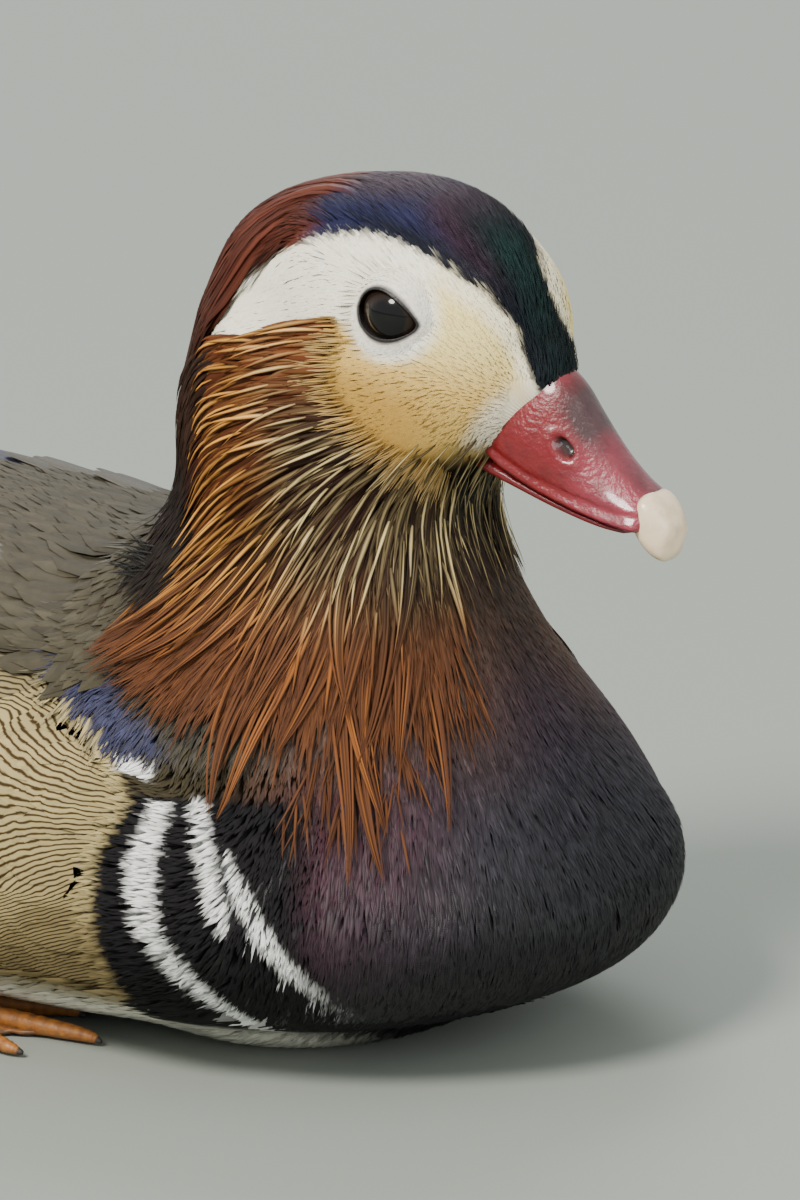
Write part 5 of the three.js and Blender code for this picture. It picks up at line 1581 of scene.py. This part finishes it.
def make_lid_down(side, label):
    """Tiny tufts on the outer skin of the lids, running round the opening."""
    count = 1700
    turn, v = rng.random(count), rng.uniform(0.0, 0.27, count)
    p = lid_places(turn, v, side)
    round_it = lid_places(turn + 0.004, v, side) - p
    inward = lid_places(turn, v + 0.004, side) - p
    out = HEAD_AXES @ np.array([0.0, side, 0])
    normal = unit(np.cross(round_it, inward))
    normal = normal * np.sign(normal @ out)[:, None]
    radial = p - from_head(EYE_MIDDLE * (1, side, 1))
    radial = radial - out * (radial @ out)[:, None]
    radial = unit(radial - normal * (radial * normal).sum(-1, keepdims=True))
    heading = lie(p)
    heading = unit(heading - normal * (heading * normal).sum(-1, keepdims=True))
    heading = unit(heading - radial * np.minimum((heading * radial).sum(-1, keepdims=True), 0) * 1.15)
    length = rng.uniform(0.9, 1.7, count)[:, None, None]
    t = np.array([0, 0.55, 1])[None, :, None]
    rise = np.array([-0.12, 0.06, 0.1])[None, :, None]
    centre = p[:, None] + heading[:, None] * length * t + normal[:, None] * rise
    up = np.repeat(normal[:, None], 3, 1)
    across = np.repeat(np.cross(heading, normal)[:, None], 3, 1)
    halves = np.array([0.14, 0.17, 0.02]) * rng.uniform(0.8, 1.2, (count, 1))
    tint = shade(plumage(p), 0.05, (halves[0], (-1, 0, 1)), 0.93, 0.92)
    feather_piece(f"lid_down_{label}", SHORT_PLUMAGE, centre, across, up, halves, halves * 0.4, tint,
                  unwrap_place(p), roundness=0.12)


for side, label in ((-1, "right"), (1, "left")):
    make_eye(side, label)
    make_lid(side, label)
    make_lid_down(side, label)

# ---------------------------------------------------------------- feet

FOOT_ORANGE = np.array([0.36, 0.135, 0.022])
FOOT_DUSK = np.array([0.10, 0.055, 0.030])
CLAW_DARK = np.array([0.030, 0.024, 0.020])
TOES = [(33, -12), (43, -1), (35, 11)]


def limb(name, path, scutes, material, colours, replaces=()):
    """A tapering toe or shank along x, y, z, radius rows, ringed with scutes."""
    rows = [(i, *row) for i, row in enumerate(path)]
    at = smooth_rows(rows, 0.02)
    form = bmesh.new()
    bmesh.ops.create_uvsphere(form, u_segments=28, v_segments=72, radius=1)
    ball = np.array([v.co[:] for v in form.verts])
    v = np.arccos(np.clip(-ball[:, 2], -1, 1)) / np.pi
    angle = np.arctan2(ball[:, 1], ball[:, 0])
    last = len(path) - 1
    x, y, z, r = at(v * last)
    ahead = unit(np.stack(at(np.clip(v * last + 0.05, 0, last))[:3], -1) - np.stack(at(np.clip(v * last - 0.05, 0, last))[:3], -1))
    across = unit(np.cross(ahead, np.array([0, 0, 1.0])))
    up = np.cross(across, ahead)
    cap = np.sqrt(np.clip(1 - np.clip(1 - np.minimum(v, 1 - v) / 0.03, 0, 1) ** 2, 0, 1))
    r = r * cap * (1 + 0.05 * np.sin(2 * np.pi * scutes * v) * ramp(np.sin(angle), -0.2, 0.5))
    p = np.stack([x, y, z], -1) + across * (r * np.cos(angle))[:, None] + up * (r * np.sin(angle) * 0.92)[:, None]
    p[:, 2] = np.maximum(p[:, 2], 0.05)
    for vertex, place in zip(form.verts, p * MM):
        vertex.co = place
    bmesh.ops.recalc_face_normals(form, faces=form.faces)
    for face in form.faces:
        face.smooth = True
    mesh = bpy.data.meshes.new(name)
    form.to_mesh(mesh)
    form.free()
    groove = 0.5 + 0.5 * np.cos(2 * np.pi * scutes * v + 0.5 * np.pi)
    add_tint(mesh, colours(v, groove))
    return make_object(name, mesh, material, replaces)


def toe_colours(v, groove):
    colour = mix(FOOT_ORANGE, FOOT_DUSK, 0.35 * groove)
    return mix(colour, CLAW_DARK, ramp(v, 0.90, 0.93))


def shank_colours(v, groove):
    return mix(FOOT_ORANGE, FOOT_DUSK, 0.4 * groove)


def make_web(name, near, far, joint, side):
    """The web between two toes, scalloped at its free edge."""
    form = bmesh.new()
    bmesh.ops.create_grid(form, x_segments=40, y_segments=24, size=0.5)
    flat = np.array([v.co[:] for v in form.verts])
    u, v = flat[:, 0] + 0.5, flat[:, 1] + 0.5
    a = joint + (near - joint) * (0.06 + 0.86 * u[:, None])
    b = joint + (far - joint) * (0.06 + 0.86 * u[:, None])
    p = a + (b - a) * v[:, None]
    p = p - (near + far - 2 * joint) * (0.10 * np.sin(np.pi * v) * u**3)[:, None]
    p[:, 2] = 0.95 + 0.18 * np.sin(v * 34 + 3 * u) * np.sin(np.pi * v)
    for vertex, place in zip(form.verts, p * MM):
        vertex.co = place
    bmesh.ops.recalc_face_normals(form, faces=form.faces)
    for face in form.faces:
        face.smooth = True
    mesh = bpy.data.meshes.new(name)
    form.to_mesh(mesh)
    form.free()
    add_tint(mesh, mix(FOOT_DUSK, FOOT_ORANGE, 0.35 + 0.3 * np.sin(v * 34 + 3 * u)))
    web = make_object(name, mesh, FOOT_SKIN)
    thick = web.modifiers.new("thickness", "SOLIDIFY")
    thick.thickness = 0.7 * MM
    thick.offset = 0


for side, label in ((-1, "right"), (1, "left")):
    joint = np.array([-14.0, side * 41, 2.6])
    heel = np.array([-50.0, side * 37, 3.4])
    limb(f"shank_{label}", [(*(heel + (-3, 0, 0)), 1.6), (*heel, 3.1), (-38, side * 38, 3.0, 2.4), (-24, side * 40, 2.7, 2.3),
                            (*joint, 2.8), (*(joint + (3, 0, 0)), 1.8)], 22, FOOT_SKIN, shank_colours, (f"leg_{label}",))
    limb(f"thigh_{label}", [(*(heel + (-2.5, 0, 0)), 2.4), (-48, side * 36, 6.5, 3.4), (-44, side * 35.5, 11, 4.6),
                            (-39, side * 35, 16, 6)], 8, FOOT_SKIN, shank_colours)
    limb(f"hind_toe_{label}", [(*(joint + (-3, side * 1.5, 0)), 1.7), (-23, side * 44, 2.0, 1.5), (-29, side * 46, 1.2, 0.7)],
         9, FOOT_SKIN, toe_colours)
    tips = []
    for number, (x, y) in enumerate(TOES, 1):
        tip = joint + (x, side * y, -1.0)
        tips.append(tip)
        bend = joint + (tip - joint) * 0.5 + (0, 0, 0.4)
        third = joint + (tip - joint) * 0.78 + (0, 0, 0.2)
        limb(f"toe_{number}_{label}", [(*(joint + (-1, 0, 0)), 2.0), (*(joint + (tip - joint) * 0.25), 2.2), (*bend, 1.9), (*third, 1.75),
                                       (*tip, 1.2), (*(tip + (3.2, 0, -0.7)), 0.35)], 20, FOOT_SKIN, toe_colours)
    make_web(f"web_1_{label}", tips[0], tips[1], joint, side)
    make_web(f"web_2_{label}", tips[1], tips[2], joint, side)

# ---------------------------------------------------------------- floor and light


def make_floor():
    form = bmesh.new()
    bmesh.ops.create_grid(form, x_segments=2, y_segments=2, size=12)
    mesh = bpy.data.meshes.new("floor")
    form.to_mesh(mesh)
    form.free()
    material, tree, shader = new_material("floor paper", 0.8, Base_Color=(0.25, 0.275, 0.245, 1))
    mesh.materials.append(material)
    floor = bpy.data.objects.new("floor", mesh)
    bpy.context.collection.objects.link(floor)


def soft_light(name, place, size, power, colour=(1, 1, 1), aim=(20, 0, 70)):
    data = bpy.data.lights.new(name, "AREA")
    data.color = colour
    data.shape = "DISK"
    data.size = size
    data.energy = power
    lamp = bpy.data.objects.new(name, data)
    bpy.context.collection.objects.link(lamp)
    lamp.location = Vector(place)
    lamp.rotation_euler = (lamp.location - Vector(aim) * MM).to_track_quat("Z", "Y").to_euler()


make_floor()
soft_light("key", (-0.2, -1.5, 1.6), 0.7, 68, (1.0, 0.96, 0.89))
soft_light("fill", (1.6, -0.6, 0.8), 1.2, 14)
soft_light("back", (-0.9, 1.4, 1.3), 1.0, 20)
world = bpy.data.worlds.new("studio")
world.use_nodes = True
world.node_tree.nodes["Background"].inputs["Color"].default_value = (0.88, 0.91, 0.90, 1)
world.node_tree.nodes["Background"].inputs["Strength"].default_value = 0.9
bpy.context.scene.world = world
